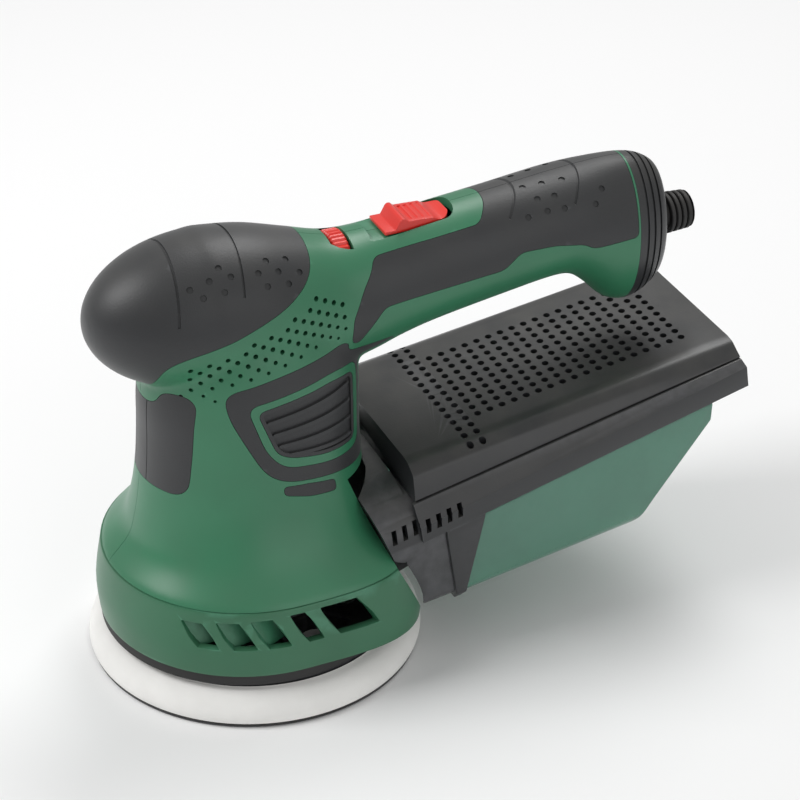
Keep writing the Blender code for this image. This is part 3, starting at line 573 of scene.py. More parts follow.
class PatternTrees:
    """Geometry node trees that repeat a shape over points, a grid or a ring."""

    def __init__(self) -> None:
        """Builds the four trees."""
        self.pins = self._pins()
        self.copies = self._copies()
        self.grid = self._grid()
        self.circle = self._circle()

    @staticmethod
    def _tree(name: str, inputs: dict[str, str]) -> tuple[bpy.types.NodeTree, Sockets]:
        """An empty tree with its inputs.

        Args:
            name: Name of the tree.
            inputs: Socket type of each named input, after "NodeSocket".

        Returns:
            The tree, and the sockets that give its inputs.
        """
        tree = bpy.data.node_groups.new(name, "GeometryNodeTree")
        for label, kind in {**inputs, "Material": "Material"}.items():
            tree.interface.new_socket(label, in_out="INPUT", socket_type="NodeSocket" + kind)
        tree.interface.new_socket("Geometry", in_out="OUTPUT", socket_type="NodeSocketGeometry")
        return tree, add(tree, "NodeGroupInput", {}).outputs

    @staticmethod
    def _close(tree: bpy.types.NodeTree, given: Sockets, place: bpy.types.Node) -> bpy.types.NodeTree:
        """Ends a tree in Realize Instances and Set Material.

        Args:
            tree: The tree.
            given: The sockets that give its inputs.
            place: The node that places the instances.

        Returns:
            The tree.
        """
        real = add(tree, "GeometryNodeRealizeInstances", {"Geometry": place.outputs["Instances"]})
        paint = add(tree, "GeometryNodeSetMaterial", {
            "Geometry": real.outputs["Geometry"], "Material": given["Material"]})
        add(tree, "NodeGroupOutput", {"Geometry": paint.outputs["Geometry"]})
        return tree

    @staticmethod
    def _on_points(tree: bpy.types.NodeTree, points: bpy.types.NodeSocket,
                   shape: bpy.types.NodeSocket) -> bpy.types.Node:
        """Places a shape on points, turned and sized by their attributes.

        Args:
            tree: The tree.
            points: Socket with the points.
            shape: Socket with the shape.

        Returns:
            The node that places the instances.
        """
        turn, size = (add(tree, "GeometryNodeInputNamedAttribute", {"Name": name}, data_type="FLOAT_VECTOR")
                      for name in ("turn", "size"))
        return add(tree, "GeometryNodeInstanceOnPoints", {
            "Points": points, "Instance": shape, "Rotation": turn.outputs["Attribute"],
            "Scale": size.outputs["Attribute"]})

    @staticmethod
    def _pin(tree: bpy.types.NodeTree, given: Sockets) -> bpy.types.NodeSocket:
        """The mesh of one round pin, with the sides, radius and depth that the tree is given."""
        pin = add(tree, "GeometryNodeMeshCylinder", {
            "Vertices": given["Sides"], "Radius": given["Radius"], "Depth": given["Depth"]})
        return pin.outputs["Mesh"]

    def _pins(self) -> bpy.types.NodeTree:
        """Round pins on given points."""
        tree, given = self._tree("pins", {
            "Points": "Geometry", "Sides": "Int", "Radius": "Float", "Depth": "Float"})
        return self._close(tree, given, self._on_points(tree, given["Points"], self._pin(tree, given)))

    def _copies(self) -> bpy.types.NodeTree:
        """Copies of an object on given points."""
        tree, given = self._tree("copies", {"Points": "Geometry", "Shape": "Object"})
        shape = add(tree, "GeometryNodeObjectInfo", {"Object": given["Shape"]})
        return self._close(tree, given, self._on_points(tree, given["Points"], shape.outputs["Geometry"]))

    def _grid(self) -> bpy.types.NodeTree:
        """Round pins on a flat grid, drawn out along X by a stretch."""
        tree, given = self._tree("grid_of_pins", {
            "Geometry": "Geometry", "Columns": "Int", "Rows": "Int", "Width": "Float", "Length": "Float",
            "Sides": "Int", "Radius": "Float", "Depth": "Float", "Stretch": "Vector"})
        grid = add(tree, "GeometryNodeMeshGrid", {
            "Vertices X": given["Columns"], "Vertices Y": given["Rows"], "Size X": given["Width"],
            "Size Y": given["Length"]})
        place = add(tree, "GeometryNodeInstanceOnPoints", {
            "Points": grid.outputs["Mesh"], "Instance": self._pin(tree, given), "Scale": given["Stretch"]})
        return self._close(tree, given, place)

    def _circle(self) -> bpy.types.NodeTree:
        """Copies of an object round the vertical axis, each turned to its bearing."""
        tree, given = self._tree("ring_of_copies", {
            "Geometry": "Geometry", "Shape": "Object", "Count": "Int", "Radius": "Float"})
        ring = add(tree, "GeometryNodeMeshCircle", {"Vertices": given["Count"], "Radius": given["Radius"]})
        shape = add(tree, "GeometryNodeObjectInfo", {"Object": given["Shape"]})
        index = add(tree, "GeometryNodeInputIndex", {})
        share = add(tree, "ShaderNodeMath", {0: index.outputs["Index"], 1: given["Count"]}, operation="DIVIDE")
        angle = add(tree, "ShaderNodeMath", {0: share.outputs["Value"], 1: 2 * math.pi}, operation="MULTIPLY")
        turn = add(tree, "ShaderNodeCombineXYZ", {"Z": angle.outputs["Value"]})
        place = add(tree, "GeometryNodeInstanceOnPoints", {
            "Points": ring.outputs["Mesh"], "Instance": shape.outputs["Geometry"],
            "Rotation": turn.outputs["Vector"]})
        return self._close(tree, given, place)


@dataclass
class Spot:
    """A place for one copy of a repeated shape."""

    at: Point
    turn: Point = (0.0, 0.0, 0.0)
    size: Point = (1.0, 1.0, 1.0)


class Patterns:
    """Runs the pattern trees and gives plain meshes."""

    def __init__(self) -> None:
        """Builds the trees once."""
        self.trees = PatternTrees()

    @staticmethod
    def _run(tree: bpy.types.NodeTree, carrier: Object, values: dict[str, object]) -> Object:
        """Runs a tree on a carrier.

        Args:
            tree: The tree.
            carrier: The object whose mesh enters it.
            values: A value for each named input.

        Returns:
            The carrier with the plain result.
        """
        modifier = carrier.modifiers.new("pattern", "NODES")
        modifier.node_group = tree
        for item in tree.interface.items_tree:
            if item.in_out == "INPUT" and item.name in values:
                modifier[item.identifier] = values[item.name]
        return plain(carrier)

    @staticmethod
    def _carrier(spots: Sequence[Spot]) -> Object:
        """An object with one vertex, a turn and a size for each spot.

        Args:
            spots: The spots.

        Returns:
            The object.
        """
        mesh = bpy.data.meshes.new("spots")
        mesh.from_pydata([spot.at for spot in spots], [], [])
        for name, rows in (("turn", [s.turn for s in spots]), ("size", [s.size for s in spots])):
            attribute = mesh.attributes.new(name, "FLOAT_VECTOR", "POINT")
            attribute.data.foreach_set("vector", np.array(rows, np.float32).ravel())
        obj = bpy.data.objects.new("pattern", mesh)
        bpy.context.scene.collection.objects.link(obj)
        return obj

    def pins(self, spots: Sequence[Spot], radius: float, depth: float, sides: int = 12) -> Object:
        """Round pins centred on the spots.

        Args:
            spots: Their places.
            radius: Radius of a pin of size 1.
            depth: Its whole length.
            sides: Its sides.

        Returns:
            One object with every pin.
        """
        values = {"Sides": sides, "Radius": radius, "Depth": depth}
        return self._run(self.trees.pins, self._carrier(spots), values)

    def copies(self, spots: Sequence[Spot], shape: Object) -> Object:
        """Copies of a shape on the spots.

        Args:
            spots: Their places.
            shape: The shape; it is removed.

        Returns:
            One object with every copy.
        """
        result = self._run(self.trees.copies, self._carrier(spots), {"Shape": shape})
        bpy.data.objects.remove(shape)
        return result

    def grid(self, columns: int, rows: int, pitch: Pair, radius: float, depth: float,
             stretch: float = 1.0, sides: int = 12) -> Object:
        """A flat grid of pins centred on the origin.

        Args:
            columns: Pins along X.
            rows: Pins along Y.
            pitch: Distance between pins along X and Y.
            radius: Radius of a pin.
            depth: Its whole length.
            stretch: How much wider a pin is along X.
            sides: Its sides.

        Returns:
            One object with every pin.
        """
        values = {"Columns": columns, "Rows": rows, "Width": pitch[0] * (columns - 1),
                  "Length": pitch[1] * (rows - 1), "Sides": sides, "Radius": radius, "Depth": depth,
                  "Stretch": (stretch, 1.0, 1.0)}
        return self._run(self.trees.grid, self._carrier([Spot((0, 0, 0))]), values)

    def circle(self, shape: Object, count: int, radius: float) -> Object:
        """Copies of a shape round the vertical axis.

        Args:
            shape: The shape; it is removed.
            count: How many.
            radius: Radius of their circle.

        Returns:
            One object with every copy.
        """
        values = {"Shape": shape, "Count": count, "Radius": radius}
        result = self._run(self.trees.circle, self._carrier([Spot((0, 0, 0))]), values)
        bpy.data.objects.remove(shape)
        return result


# ================================================================ finishes
def shade(red: int, green: int, blue: int) -> Colour:
    """A colour as the eye reads it, from 0 to 255, in the linear values that shaders take."""
    def linear(value: int) -> float:
        """One channel."""
        share = value / 255
        return share / 12.92 if share <= 0.04045 else ((share + 0.055) / 1.055) ** 2.4
    return (linear(red), linear(green), linear(blue), 1.0)


@dataclass(frozen=True)
class Finish:
    """How one material looks."""

    name: str
    slot: Slot
    colour: Colour
    roughness: float
    metallic: float = 0.0
    grain: float = 0.0005          # size of the surface grain
    depth: float = 0.00002         # height of it
    pebble: float = 0.5            # share of cells, against soft noise
    mottle: float = 0.10           # how far the colour varies
    wear: float = 0.25             # rubbed edges
    worn: Colour = (0.5, 0.5, 0.5, 1.0)
    dust: float = 0.06
    coat: float = 0.0
    clear: float = 0.0             # light that passes through
    sheen: float = 0.0
    layers: float = 0.0            # pitch of stacked sheets or turns of wire


class Effects:
    """Shader node groups that several materials share."""

    TONE = 38.0                    # scales of the noise behind each effect
    PATCHES = 260.0
    SPECKLES = 75.0
    EDGE: Pair = (0.53, 0.62)      # pointiness where wear starts and is full
    LEAST_DUST = 0.15              # share that settles on upright and lower faces

    def __init__(self) -> None:
        """Builds the groups once."""
        self.grain = self._grain()
        self.wear = self._wear()
        self.dust = self._dust()
        self.layers = self._layers()

    @staticmethod
    def _group(name: str, inputs: Sequence[str],
               outputs: Sequence[str]) -> tuple[bpy.types.NodeTree, Sockets, Sockets]:
        """An empty group with its sockets and both end nodes.

        Args:
            name: Name of the group.
            inputs: Names of the numbers that it takes, besides the coordinates.
            outputs: Names of the numbers that it puts out.

        Returns:
            The group, the sockets that give its inputs, and those of its outputs.
        """
        tree = bpy.data.node_groups.new(name, "ShaderNodeTree")
        tree.interface.new_socket("Vector", in_out="INPUT", socket_type="NodeSocketVector")
        for label in inputs:
            tree.interface.new_socket(label, in_out="INPUT", socket_type="NodeSocketFloat")
        for label in outputs:
            tree.interface.new_socket(label, in_out="OUTPUT", socket_type="NodeSocketFloat")
        return tree, add(tree, "NodeGroupInput", {}).outputs, add(tree, "NodeGroupOutput", {}).inputs

    @staticmethod
    def _math(tree: bpy.types.NodeTree, operation: str, *values: object) -> bpy.types.NodeSocket:
        """The value of a Math node whose inputs are sockets or numbers."""
        return add(tree, "ShaderNodeMath", dict(enumerate(values)), operation=operation).outputs["Value"]

    @staticmethod
    def _noise(tree: bpy.types.NodeTree, vector: bpy.types.NodeSocket, scale: object,
               detail: float) -> bpy.types.NodeSocket:
        """The factor of a Noise node."""
        inputs = {"Vector": vector, "Scale": scale, "Detail": detail}
        return add(tree, "ShaderNodeTexNoise", inputs).outputs["Fac"]

    def _grain(self) -> bpy.types.NodeTree:
        """Fine moulded grain, and a slow change of tone."""
        tree, given, out = self._group("moulded_grain", ("Scale", "Pebble"), ("Height", "Tone"))
        vector = given["Vector"]
        soft = self._noise(tree, vector, given["Scale"], 3.0)
        cells = add(tree, "ShaderNodeTexVoronoi", {"Vector": vector, "Scale": given["Scale"]},
                    feature="SMOOTH_F1")
        mix = add(tree, "ShaderNodeMix", {
            "Factor": given["Pebble"], "A": soft, "B": cells.outputs["Distance"]})
        feed(tree, out["Height"], mix.outputs["Result"])
        feed(tree, out["Tone"], self._noise(tree, vector, self.TONE, 4.0))
        return tree

    def _wear(self) -> bpy.types.NodeTree:
        """Edges that hands and benches have rubbed."""
        tree, given, out = self._group("edge_wear", ("Amount",), ("Mask",))
        point = add(tree, "ShaderNodeNewGeometry", {})
        edge = add(tree, "ShaderNodeMapRange", {
            "Value": point.outputs["Pointiness"], "From Min": self.EDGE[0], "From Max": self.EDGE[1]})
        patches = self._noise(tree, given["Vector"], self.PATCHES, 5.0)
        patchy = self._math(tree, "MULTIPLY", edge.outputs["Result"], patches)
        feed(tree, out["Mask"], self._math(tree, "MULTIPLY", patchy, given["Amount"]))
        return tree

    def _dust(self) -> bpy.types.NodeTree:
        """Fine dust that settles on faces turned up."""
        tree, given, out = self._group("settled_dust", ("Amount",), ("Mask",))
        point = add(tree, "ShaderNodeNewGeometry", {})
        parts = add(tree, "ShaderNodeSeparateXYZ", {"Vector": point.outputs["Normal"]})
        upward = self._math(tree, "MAXIMUM", parts.outputs["Z"], self.LEAST_DUST)
        speckle = self._math(tree, "MULTIPLY", self._noise(tree, given["Vector"], self.SPECKLES, 8.0), upward)
        feed(tree, out["Mask"], self._math(tree, "MULTIPLY", speckle, given["Amount"]))
        return tree

    def _layers(self) -> bpy.types.NodeTree:
        """Stacked sheets or turns of wire, as height along the axis."""
        tree, given, out = self._group("stacked_layers", ("Scale",), ("Height",))
        wave = add(tree, "ShaderNodeTexWave", {
            "Vector": given["Vector"], "Scale": given["Scale"], "Distortion": 0.4}, bands_direction="Z")
        feed(tree, out["Height"], wave.outputs["Fac"])
        return tree


class Materials:
    """Makes one material for each finish."""

    DUST = shade(196, 190, 176)
    LIGHTEST = 1.10                # of the colour, where its tone is lightest
    DARKEST = 0.86                 # of it where it is darkest, before mottling
    SPREAD = 0.07                  # how far the roughness varies each way
    COAT_ROUGHNESS = 0.25
    WAVES = 0.32                   # scale of the wave times the pitch of the layers

    def __init__(self) -> None:
        """Builds the shared groups."""
        self.effects = Effects()
        self.made: dict[str, bpy.types.Material] = {}

    def of(self, finish: Finish) -> bpy.types.Material:
        """The material of a finish, made the first time it is asked for."""
        if finish.name not in self.made:
            self.made[finish.name] = self._make(finish)
        return self.made[finish.name]

    @staticmethod
    def _use(tree: bpy.types.NodeTree, group: bpy.types.NodeTree, **inputs: object) -> Sockets:
        """Places a shared group in a material and gives its outputs."""
        return add(tree, "ShaderNodeGroup", inputs, node_tree=group).outputs

    @staticmethod
    def _blend(tree: bpy.types.NodeTree, factor: bpy.types.NodeSocket, first: object,
               second: Colour) -> bpy.types.NodeSocket:
        """Mixes a socket or a colour with a colour."""
        inputs = {"Factor": factor, 6: first, 7: second}
        return add(tree, "ShaderNodeMix", inputs, data_type="RGBA").outputs[2]

    @staticmethod
    def _toned(colour: Colour, share: float) -> Colour:
        """A colour made lighter or darker."""
        return (*(min(1.0, value * share) for value in colour[:3]), 1.0)

    def _make(self, finish: Finish) -> bpy.types.Material:
        """Builds a material's nodes.

        Args:
            finish: How it looks.

        Returns:
            The material.
        """
        material = bpy.data.materials.new(finish.name)
        material.use_nodes = True
        material.diffuse_color = finish.colour
        tree, effects = material.node_tree, self.effects
        place = add(tree, "ShaderNodeTexCoord", {}).outputs["Object"]
        grain = self._use(tree, effects.grain, Vector=place, Scale=1 / finish.grain, Pebble=finish.pebble)
        height = grain["Height"]
        darker = self._toned(finish.colour, (1 - finish.mottle) * self.DARKEST)
        colour = self._blend(tree, grain["Tone"], self._toned(finish.colour, self.LIGHTEST), darker)
        if finish.layers:
            height = self._use(tree, effects.layers, Vector=place, Scale=self.WAVES / finish.layers)["Height"]
            colour = self._blend(tree, height, colour, darker)
        wear = self._use(tree, effects.wear, Vector=place, Amount=finish.wear)
        colour = self._blend(tree, wear["Mask"], colour, finish.worn)
        dust = self._use(tree, effects.dust, Vector=place, Amount=finish.dust)
        colour = self._blend(tree, dust["Mask"], colour, self.DUST)
        rough = add(tree, "ShaderNodeMapRange", {
            "Value": grain["Tone"], "To Min": max(0.03, finish.roughness - self.SPREAD),
            "To Max": min(1.0, finish.roughness + self.SPREAD)})
        bump = add(tree, "ShaderNodeBump", {"Strength": 1.0, "Distance": finish.depth, "Height": height})
        shader = tree.nodes["Principled BSDF"]
        for label, value in {
                "Base Color": colour, "Roughness": rough.outputs["Result"], "Normal": bump.outputs["Normal"],
                "Metallic": finish.metallic, "Coat Weight": finish.coat, "Coat Roughness": self.COAT_ROUGHNESS,
                "Transmission Weight": finish.clear, "Sheen Weight": finish.sheen}.items():
            feed(tree, shader.inputs[label], value)
        return material


GREEN = Finish("satin_green_nylon", Slot.GREEN, shade(50, 120, 86), 0.38, grain=0.00045, depth=0.000012,
               worn=shade(96, 168, 138), wear=0.35, dust=0.05, coat=0.08)
DEEP_GREEN = Finish("shroud_green_nylon", Slot.DARK_GREEN, shade(46, 108, 76), 0.38, grain=0.00045,
                    depth=0.000012, worn=shade(96, 168, 138), wear=0.40, dust=0.06, coat=0.08)
SOFT = Finish("soft_grip_rubber", Slot.SOFT, shade(35, 37, 40), 0.46, grain=0.00055, depth=0.000035, pebble=0.8,
              worn=shade(92, 94, 98), wear=0.35, dust=0.05, sheen=0.15)
BLACK = Finish("grained_black_plastic", Slot.BLACK, shade(38, 40, 43), 0.38, grain=0.00050, depth=0.00003,
               pebble=0.7, worn=shade(105, 106, 110), wear=0.5, dust=0.10, coat=0.10)
RED = Finish("red_control_plastic", Slot.RED, shade(226, 46, 36), 0.34, depth=0.00001, worn=shade(240, 120, 105),
             wear=0.3, dust=0.03, coat=0.2)
CLEAR = Finish("smoked_green_clear", Slot.CLEAR, shade(112, 174, 150), 0.24, grain=0.0008, depth=0.00001,
               worn=shade(150, 196, 180), wear=0.2, dust=0.10, clear=0.55, coat=0.15)
FOAM = Finish("white_cell_foam", Slot.FOAM, shade(244, 243, 240), 0.85, grain=0.00060, depth=0.00006, pebble=0.6,
              mottle=0.04, worn=shade(222, 218, 210), wear=0.2, dust=0.05, sheen=0.1)
HOOK = Finish("hook_layer", Slot.HOOK, shade(36, 36, 38), 0.85, grain=0.0009, depth=0.00018, pebble=1.0,
              worn=shade(80, 80, 84), sheen=0.3)
RUBBER = Finish("matt_rubber", Slot.RUBBER, shade(30, 30, 31), 0.62, depth=0.00002, worn=shade(66, 66, 68),
                dust=0.10)
STEEL = Finish("ground_steel", Slot.STEEL, shade(196, 197, 199), 0.26, 1.0, grain=0.0003, depth=0.000004,
               worn=shade(225, 225, 226), dust=0.02)
LAMINATE = Finish("stacked_sheet_steel", Slot.LAMINATE, shade(128, 128, 132), 0.42, 1.0, layers=0.0005,
                  depth=0.00008, worn=shade(190, 190, 192), dust=0.04)
COPPER = Finish("enamelled_copper", Slot.COPPER, shade(190, 104, 56), 0.30, 1.0, layers=0.0007, depth=0.00015,
                worn=shade(226, 158, 112), dust=0.04)
CARBON = Finish("pressed_carbon", Slot.CARBON, shade(40, 40, 42), 0.55, depth=0.00002, worn=shade(90, 90, 92))
NYLON = Finish("filled_nylon", Slot.NYLON, shade(74, 75, 78), 0.48, depth=0.00003, worn=shade(130, 130, 134),
               dust=0.15)
PAPER = Finish("pleated_paper", Slot.PAPER, shade(218, 208, 182), 0.85, grain=0.0004, depth=0.00004, dust=0.25,
               worn=shade(232, 226, 206), sheen=0.1)
FINISHES = (GREEN, DEEP_GREEN, SOFT, BLACK, RED, CLEAR, FOAM, HOOK, RUBBER, STEEL, LAMINATE, COPPER, CARBON,
            NYLON, PAPER)


class Shop:
    """What every sub-assembly needs: patterns, materials and the way a piece is finished."""

    def __init__(self) -> None:
        """Builds the shared trees and groups."""
        self.patterns = Patterns()
        self.materials = Materials()
        self.count = 0

    def fit(self, obj: Object, name: str, finish: Finish, body: Body, *nodes: str,
            smooth: float = FINE_ANGLE) -> Object:
        """Names, shades and paints a piece, and sets what it rides on.

        Args:
            obj: The piece.
            name: Its name.
            finish: Its material.
            body: The body that it moves with.
            *nodes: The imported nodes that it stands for.
            smooth: Greatest angle between two faces that is shaded as one surface.

        Returns:
            The piece.
        """
        obj.name = name
        obj.data.name = name
        for attribute in [a.name for a in obj.data.attributes if a.name in ("turn", "size", "sharp_face")]:
            obj.data.attributes.remove(obj.data.attributes[attribute])
        obj.data.shade_smooth()
        obj.data.set_sharp_from_angle(angle=smooth)
        obj.data.materials.clear()
        obj.data.materials.append(self.materials.of(finish))
        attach(obj, body.value)
        if nodes:
            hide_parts(*nodes)
        self.count += 1
        LOG.info("%s: %d faces on %s", name, len(obj.data.polygons), body.value)
        return obj


# ================================================================ housing
@dataclass
class HousingForm:
    """Outer form of the housing, and the surfaces at each depth in its wall."""

    wall: float = 0.0030
    skin: float = 0.0016
    around: int = 96
    steps: int = 5
    voxel: float = 0.00115
    relax: int = 26
    swell: float = 0.00028         # what the relaxing takes off again
    # Height, half width, front reach, rear reach, rear squareness.
    bell: tuple = (
        (0.0453, 0.0540, 0.0540, 0.0550, 3.3), (0.0545, 0.0455, 0.0455, 0.0470, 2.7),
        (0.0620, 0.0405, 0.0430, 0.0440, 2.5), (0.0720, 0.0365, 0.0410, 0.0425, 2.4),
        (0.0840, 0.0340, 0.0395, 0.0420, 2.3), (0.0980, 0.0325, 0.0386, 0.0420, 2.3),
        (0.1120, 0.0315, 0.0380, 0.0420, 2.3), (0.1260, 0.0300, 0.0350, 0.0410, 2.2),
        (0.1380, 0.0260, 0.0280, 0.0380, 2.2), (0.1480, 0.0190, 0.0150, 0.0300, 2.1))
    skirt: tuple = (
        (0.0190, 0.0560, 0.0560, 0.0570, 3.8), (0.0300, 0.0566, 0.0566, 0.0575, 3.8),
        (0.0450, 0.0542, 0.0542, 0.0550, 3.3))
    # Place along Y, top, bottom, half width.
    handle: tuple = (
        (-0.0140, 0.1710, 0.1158, 0.0280), (0.0040, 0.1688, 0.1150, 0.0272), (0.0200, 0.1645, 0.1130, 0.0245),
        (0.0340, 0.1607, 0.1115, 0.0217), (0.0460, 0.1603, 0.1130, 0.0202), (0.0580, 0.1614, 0.1170, 0.0196),
        (0.0720, 0.1632, 0.1205, 0.0195), (0.0980, 0.1658, 0.1250, 0.0195), (0.1180, 0.1680, 0.1280, 0.0198),
        (0.1270, 0.1688, 0.1270, 0.0198), (0.1350, 0.1694, 0.1210, 0.0195), (0.1430, 0.1697, 0.1130, 0.0188),
        (0.1510, 0.1693, 0.1105, 0.0180), (0.1580, 0.1675, 0.1130, 0.0168), (0.1640, 0.1635, 0.1180, 0.0140))
    nose_centre: float = -0.014
    nose_reach: float = 0.043
    nose_radius: float = 0.0275
    nose_height: float = 0.1430
    rear_face: float = 0.0580
    rear_lean: float = 0.385
    skirt_rear: float = 0.0623
    skirt_lean: float = 0.481
    rear_top: float = 0.0764
    cap_start: float = 0.1500

    def bell_ring(self, z: float, half: float, front: float, rear: float, square: float,
                  grow: float) -> list[Point]:
        """One section of the bell or the skirt, grown outwards.

        Args:
            z: Height.
            half: Half width.
            front: Reach to the front.
            rear: Reach to the rear.
            square: Squareness of the rear half.
            grow: How far the section is moved out.

        Returns:
            Points round the section.
        """
        points = []
        for i in range(self.around):
            angle = 2 * math.pi * i / self.around
            c, s = math.cos(angle), math.sin(angle)
            exponent = 2 / square if s > 0 else 1.0
            reach = (rear if s > 0 else front) + grow
            points.append((power(c, exponent) * (half + grow), power(s, exponent) * reach, z))
        return points

    def bell_body(self, grow: float = 0.0, drop: float = 0.0) -> Object:
        """The neck and the cone.

        Args:
            grow: How far the surface is moved out.
            drop: How far the lowest section is drawn down.

        Returns:
            The body.
        """
        rings = [self.bell_ring(*row, grow) for row in spline(self.bell, self.steps)]
        if drop:
            z, *rest = self.bell[0]
            rings.insert(0, self.bell_ring(z - drop, *rest, grow))
        return loft(rings)

    def skirt_body(self, grow: float = 0.0, low: float = 0.0, high: float = 0.0) -> Object:
        """The flared skirt.

        Args:
            grow: How far the surface is moved out.
            low: How far it is drawn out below.
            high: How far it is drawn out above.

        Returns:
            The body.
        """
        rings = [self.bell_ring(*row, grow) for row in spline(self.skirt, self.steps)]
        if low:
            z, *rest = self.skirt[0]
            rings.insert(0, self.bell_ring(z - low, *rest, grow))
        if high:
            z, *rest = self.skirt[-1]
            rings.append(self.bell_ring(z + high, *rest, grow))
        return loft(rings)

    def top_ring(self, y: float, top: float, bottom: float, half: float, grow: float) -> list[Point]:
        """One upright section of the knob or the handle.

        Args:
            y: Place along Y.
            top: Height of its top.
            bottom: Height of its lowest point.
            half: Half width.
            grow: How far it is moved out.

        Returns:
            Points round the section.
        """
        middle, tall = (top + bottom) / 2, (top - bottom) / 2 + grow
        steps = (2 * math.pi * i / self.around for i in range(self.around))
        return [(math.cos(a) * (half + grow), y, middle + math.sin(a) * tall) for a in steps]

    def top_body(self, grow: float = 0.0) -> Object:
        """The knob, neck top and handle as one loft along Y.

        Args:
            grow: How far the surface is moved out.

        Returns:
            The body.
        """
        rings = []
        for degrees in range(86, 0, -6):
            share, width = math.sin(math.radians(degrees)), math.cos(math.radians(degrees))
            radius = self.nose_radius * width
            y = self.nose_centre - share * (self.nose_reach + grow)
            top, bottom = self.nose_height + radius, self.nose_height - radius
            rings.append(self.top_ring(y, top, bottom, radius, grow * width))
        rings += [self.top_ring(*row, grow) for row in spline(self.handle, self.steps)]
        return loft(rings)

    def outer(self) -> Object:
        """The whole outer surface, with soft inner corners."""
        body = join(self.bell_body(self.swell, 0.012), self.top_body(self.swell))
        return remeshed(body, self.voxel, self.relax)

    def behind_rear_face(self, away: float = 0.0) -> Object:
        """Everything behind the leaning rear face, moved back."""
        low, high = -0.02, self.rear_top + min(away, 0.0)
        line = [(self.rear_face - self.rear_lean * z + away, z) for z in (low, high)]
        return prism([line[0], (0.30, low), (0.30, high), line[1]], -0.1, 0.1, along_x)

    def behind_skirt(self) -> Object:
        """Everything behind the skirt's own rear edge, which leans a little more."""
        line = [(self.skirt_rear - self.skirt_lean * z, z) for z in (-0.02, self.skirt[-1][0] + 0.01)]
        return prism([line[0], (0.30, line[0][1]), (0.30, line[1][1]), line[1]], -0.1, 0.1, along_x)

    def before_rear_face(self, away: float) -> Object:
        """Everything in front of the leaning rear face, moved back."""
        low, high = -0.02, self.rear_top - GAP
        line = [(self.rear_face - self.rear_lean * z + away, z) for z in (low, high)]
        return prism([line[0], line[1], (line[1][0], 0.2), (-0.2, 0.2), (-0.2, low)], -0.1, 0.1, along_x)


@dataclass
class Outlines:
    """Outlines of the soft grips from the side, as places along Y and heights; the neck's is from the front."""

    knob: tuple = ((0.0235, 0.182), (0.0232, 0.1625), (0.0195, 0.1560), (0.0112, 0.1510), (0.0, 0.1468),
                   (-0.0150, 0.1415), (-0.0308, 0.1377), (-0.0374, 0.1320), (-0.0390, 0.105), (-0.080, 0.105),
                   (-0.080, 0.182))
    frame: tuple = ((-0.0165, 0.1220), (-0.0155, 0.1130), (-0.0100, 0.1010), (-0.0042, 0.0897), (0.0030, 0.0850),
                    (0.0195, 0.0825), (0.0560, 0.0765), (0.0560, 0.1235), (0.0330, 0.1235), (0.0330, 0.1290),
                    (0.0180, 0.1278), (0.0020, 0.1257))
    window: tuple = ((-0.0095, 0.1165), (-0.0034, 0.0976), (0.0028, 0.0905), (0.0240, 0.0868), (0.0365, 0.0862),
                     (0.0372, 0.1190), (0.0240, 0.1213), (0.0078, 0.1190))
    insert: tuple = ((-0.0058, 0.1140), (0.0005, 0.0968), (0.0055, 0.0940), (0.0200, 0.0910), (0.0340, 0.0897),
                     (0.0344, 0.1165), (0.0232, 0.1178), (0.0077, 0.1160))
    handle: tuple = ((0.0461, 0.1552), (0.0442, 0.1517), (0.0396, 0.1460), (0.0350, 0.1370), (0.0345, 0.1275),
                     (0.0372, 0.1262), (0.0475, 0.1386), (0.0940, 0.1429), (0.1007, 0.1486), (0.1142, 0.1486),
                     (0.1260, 0.1466), (0.1301, 0.1440), (0.1490, 0.1440), (0.1490, 0.182), (0.0935, 0.182),
                     (0.0930, 0.1655), (0.0870, 0.1597))
    neck: tuple = ((-0.0228, 0.0805), (0.0228, 0.0805), (0.0232, 0.1200), (0.0130, 0.1200), (0.0095, 0.1130),
                   (-0.0095, 0.1130), (-0.0130, 0.1200), (-0.0232, 0.1200))
    # The strip under the frame's lower edge: a dark band of soft rubber that partly stands in for the shade of
    # the undercut there, so it is partly painted shade.
    strip: tuple = ((0.0022, 0.0832), (0.0120, 0.0820), (0.0227, 0.0797), (0.0230, 0.0757), (0.0118, 0.0774),
                    (0.0022, 0.0801))

    # How far from its corners the rounding of each outline begins.
    corners: dict = field(default_factory=lambda: {
        "knob": 0.009, "frame": 0.006, "window": 0.005, "insert": 0.0035, "handle": 0.0024, "neck": 0.006,
        "strip": 0.0015})

    def edge(self, name: str, grow: float) -> list[Pair]:
        """A rounded outline, moved outwards."""
        return offset(rounded(getattr(self, name), self.corners[name]), grow)

    def region(self, name: str, grow: float = 0.0) -> Object:
        """The cutter of one grip, grown outwards.

        Args:
            name: Which grip.
            grow: How far its outline is moved out.

        Returns:
            The cutter, on the right side where the grip has two.
        """
        if name == "neck":
            return prism(self.edge(name, grow), -0.08, -0.0150, along_y)
        start = {"knob": -0.08, "handle": SEAM - grow}.get(name, 0.015)
        body = prism(self.edge(name, grow), start, 0.08, along_x)
        if name == "frame":
            cut(body, prism(self.edge("window", -grow), 0.01, 0.09, along_x))
        return body


def slide_plan(half: float, front: float, rear: float) -> list[Pair]:
    """Plan of the thumb slide or of its recess: square in front and round behind.

    Args:
        half: Half width.
        front: Place of the front edge along Y.
        rear: Place of the rear edge.

    Returns:
        The outline.
    """
    arc = [math.pi * k / 24 for k in range(25)]
    depth = 0.0062
    return [(-half, front), (half, front),
            *[(half * power(math.cos(a), 0.75), rear - depth + depth * power(math.sin(a), 0.75)) for a in arc]]


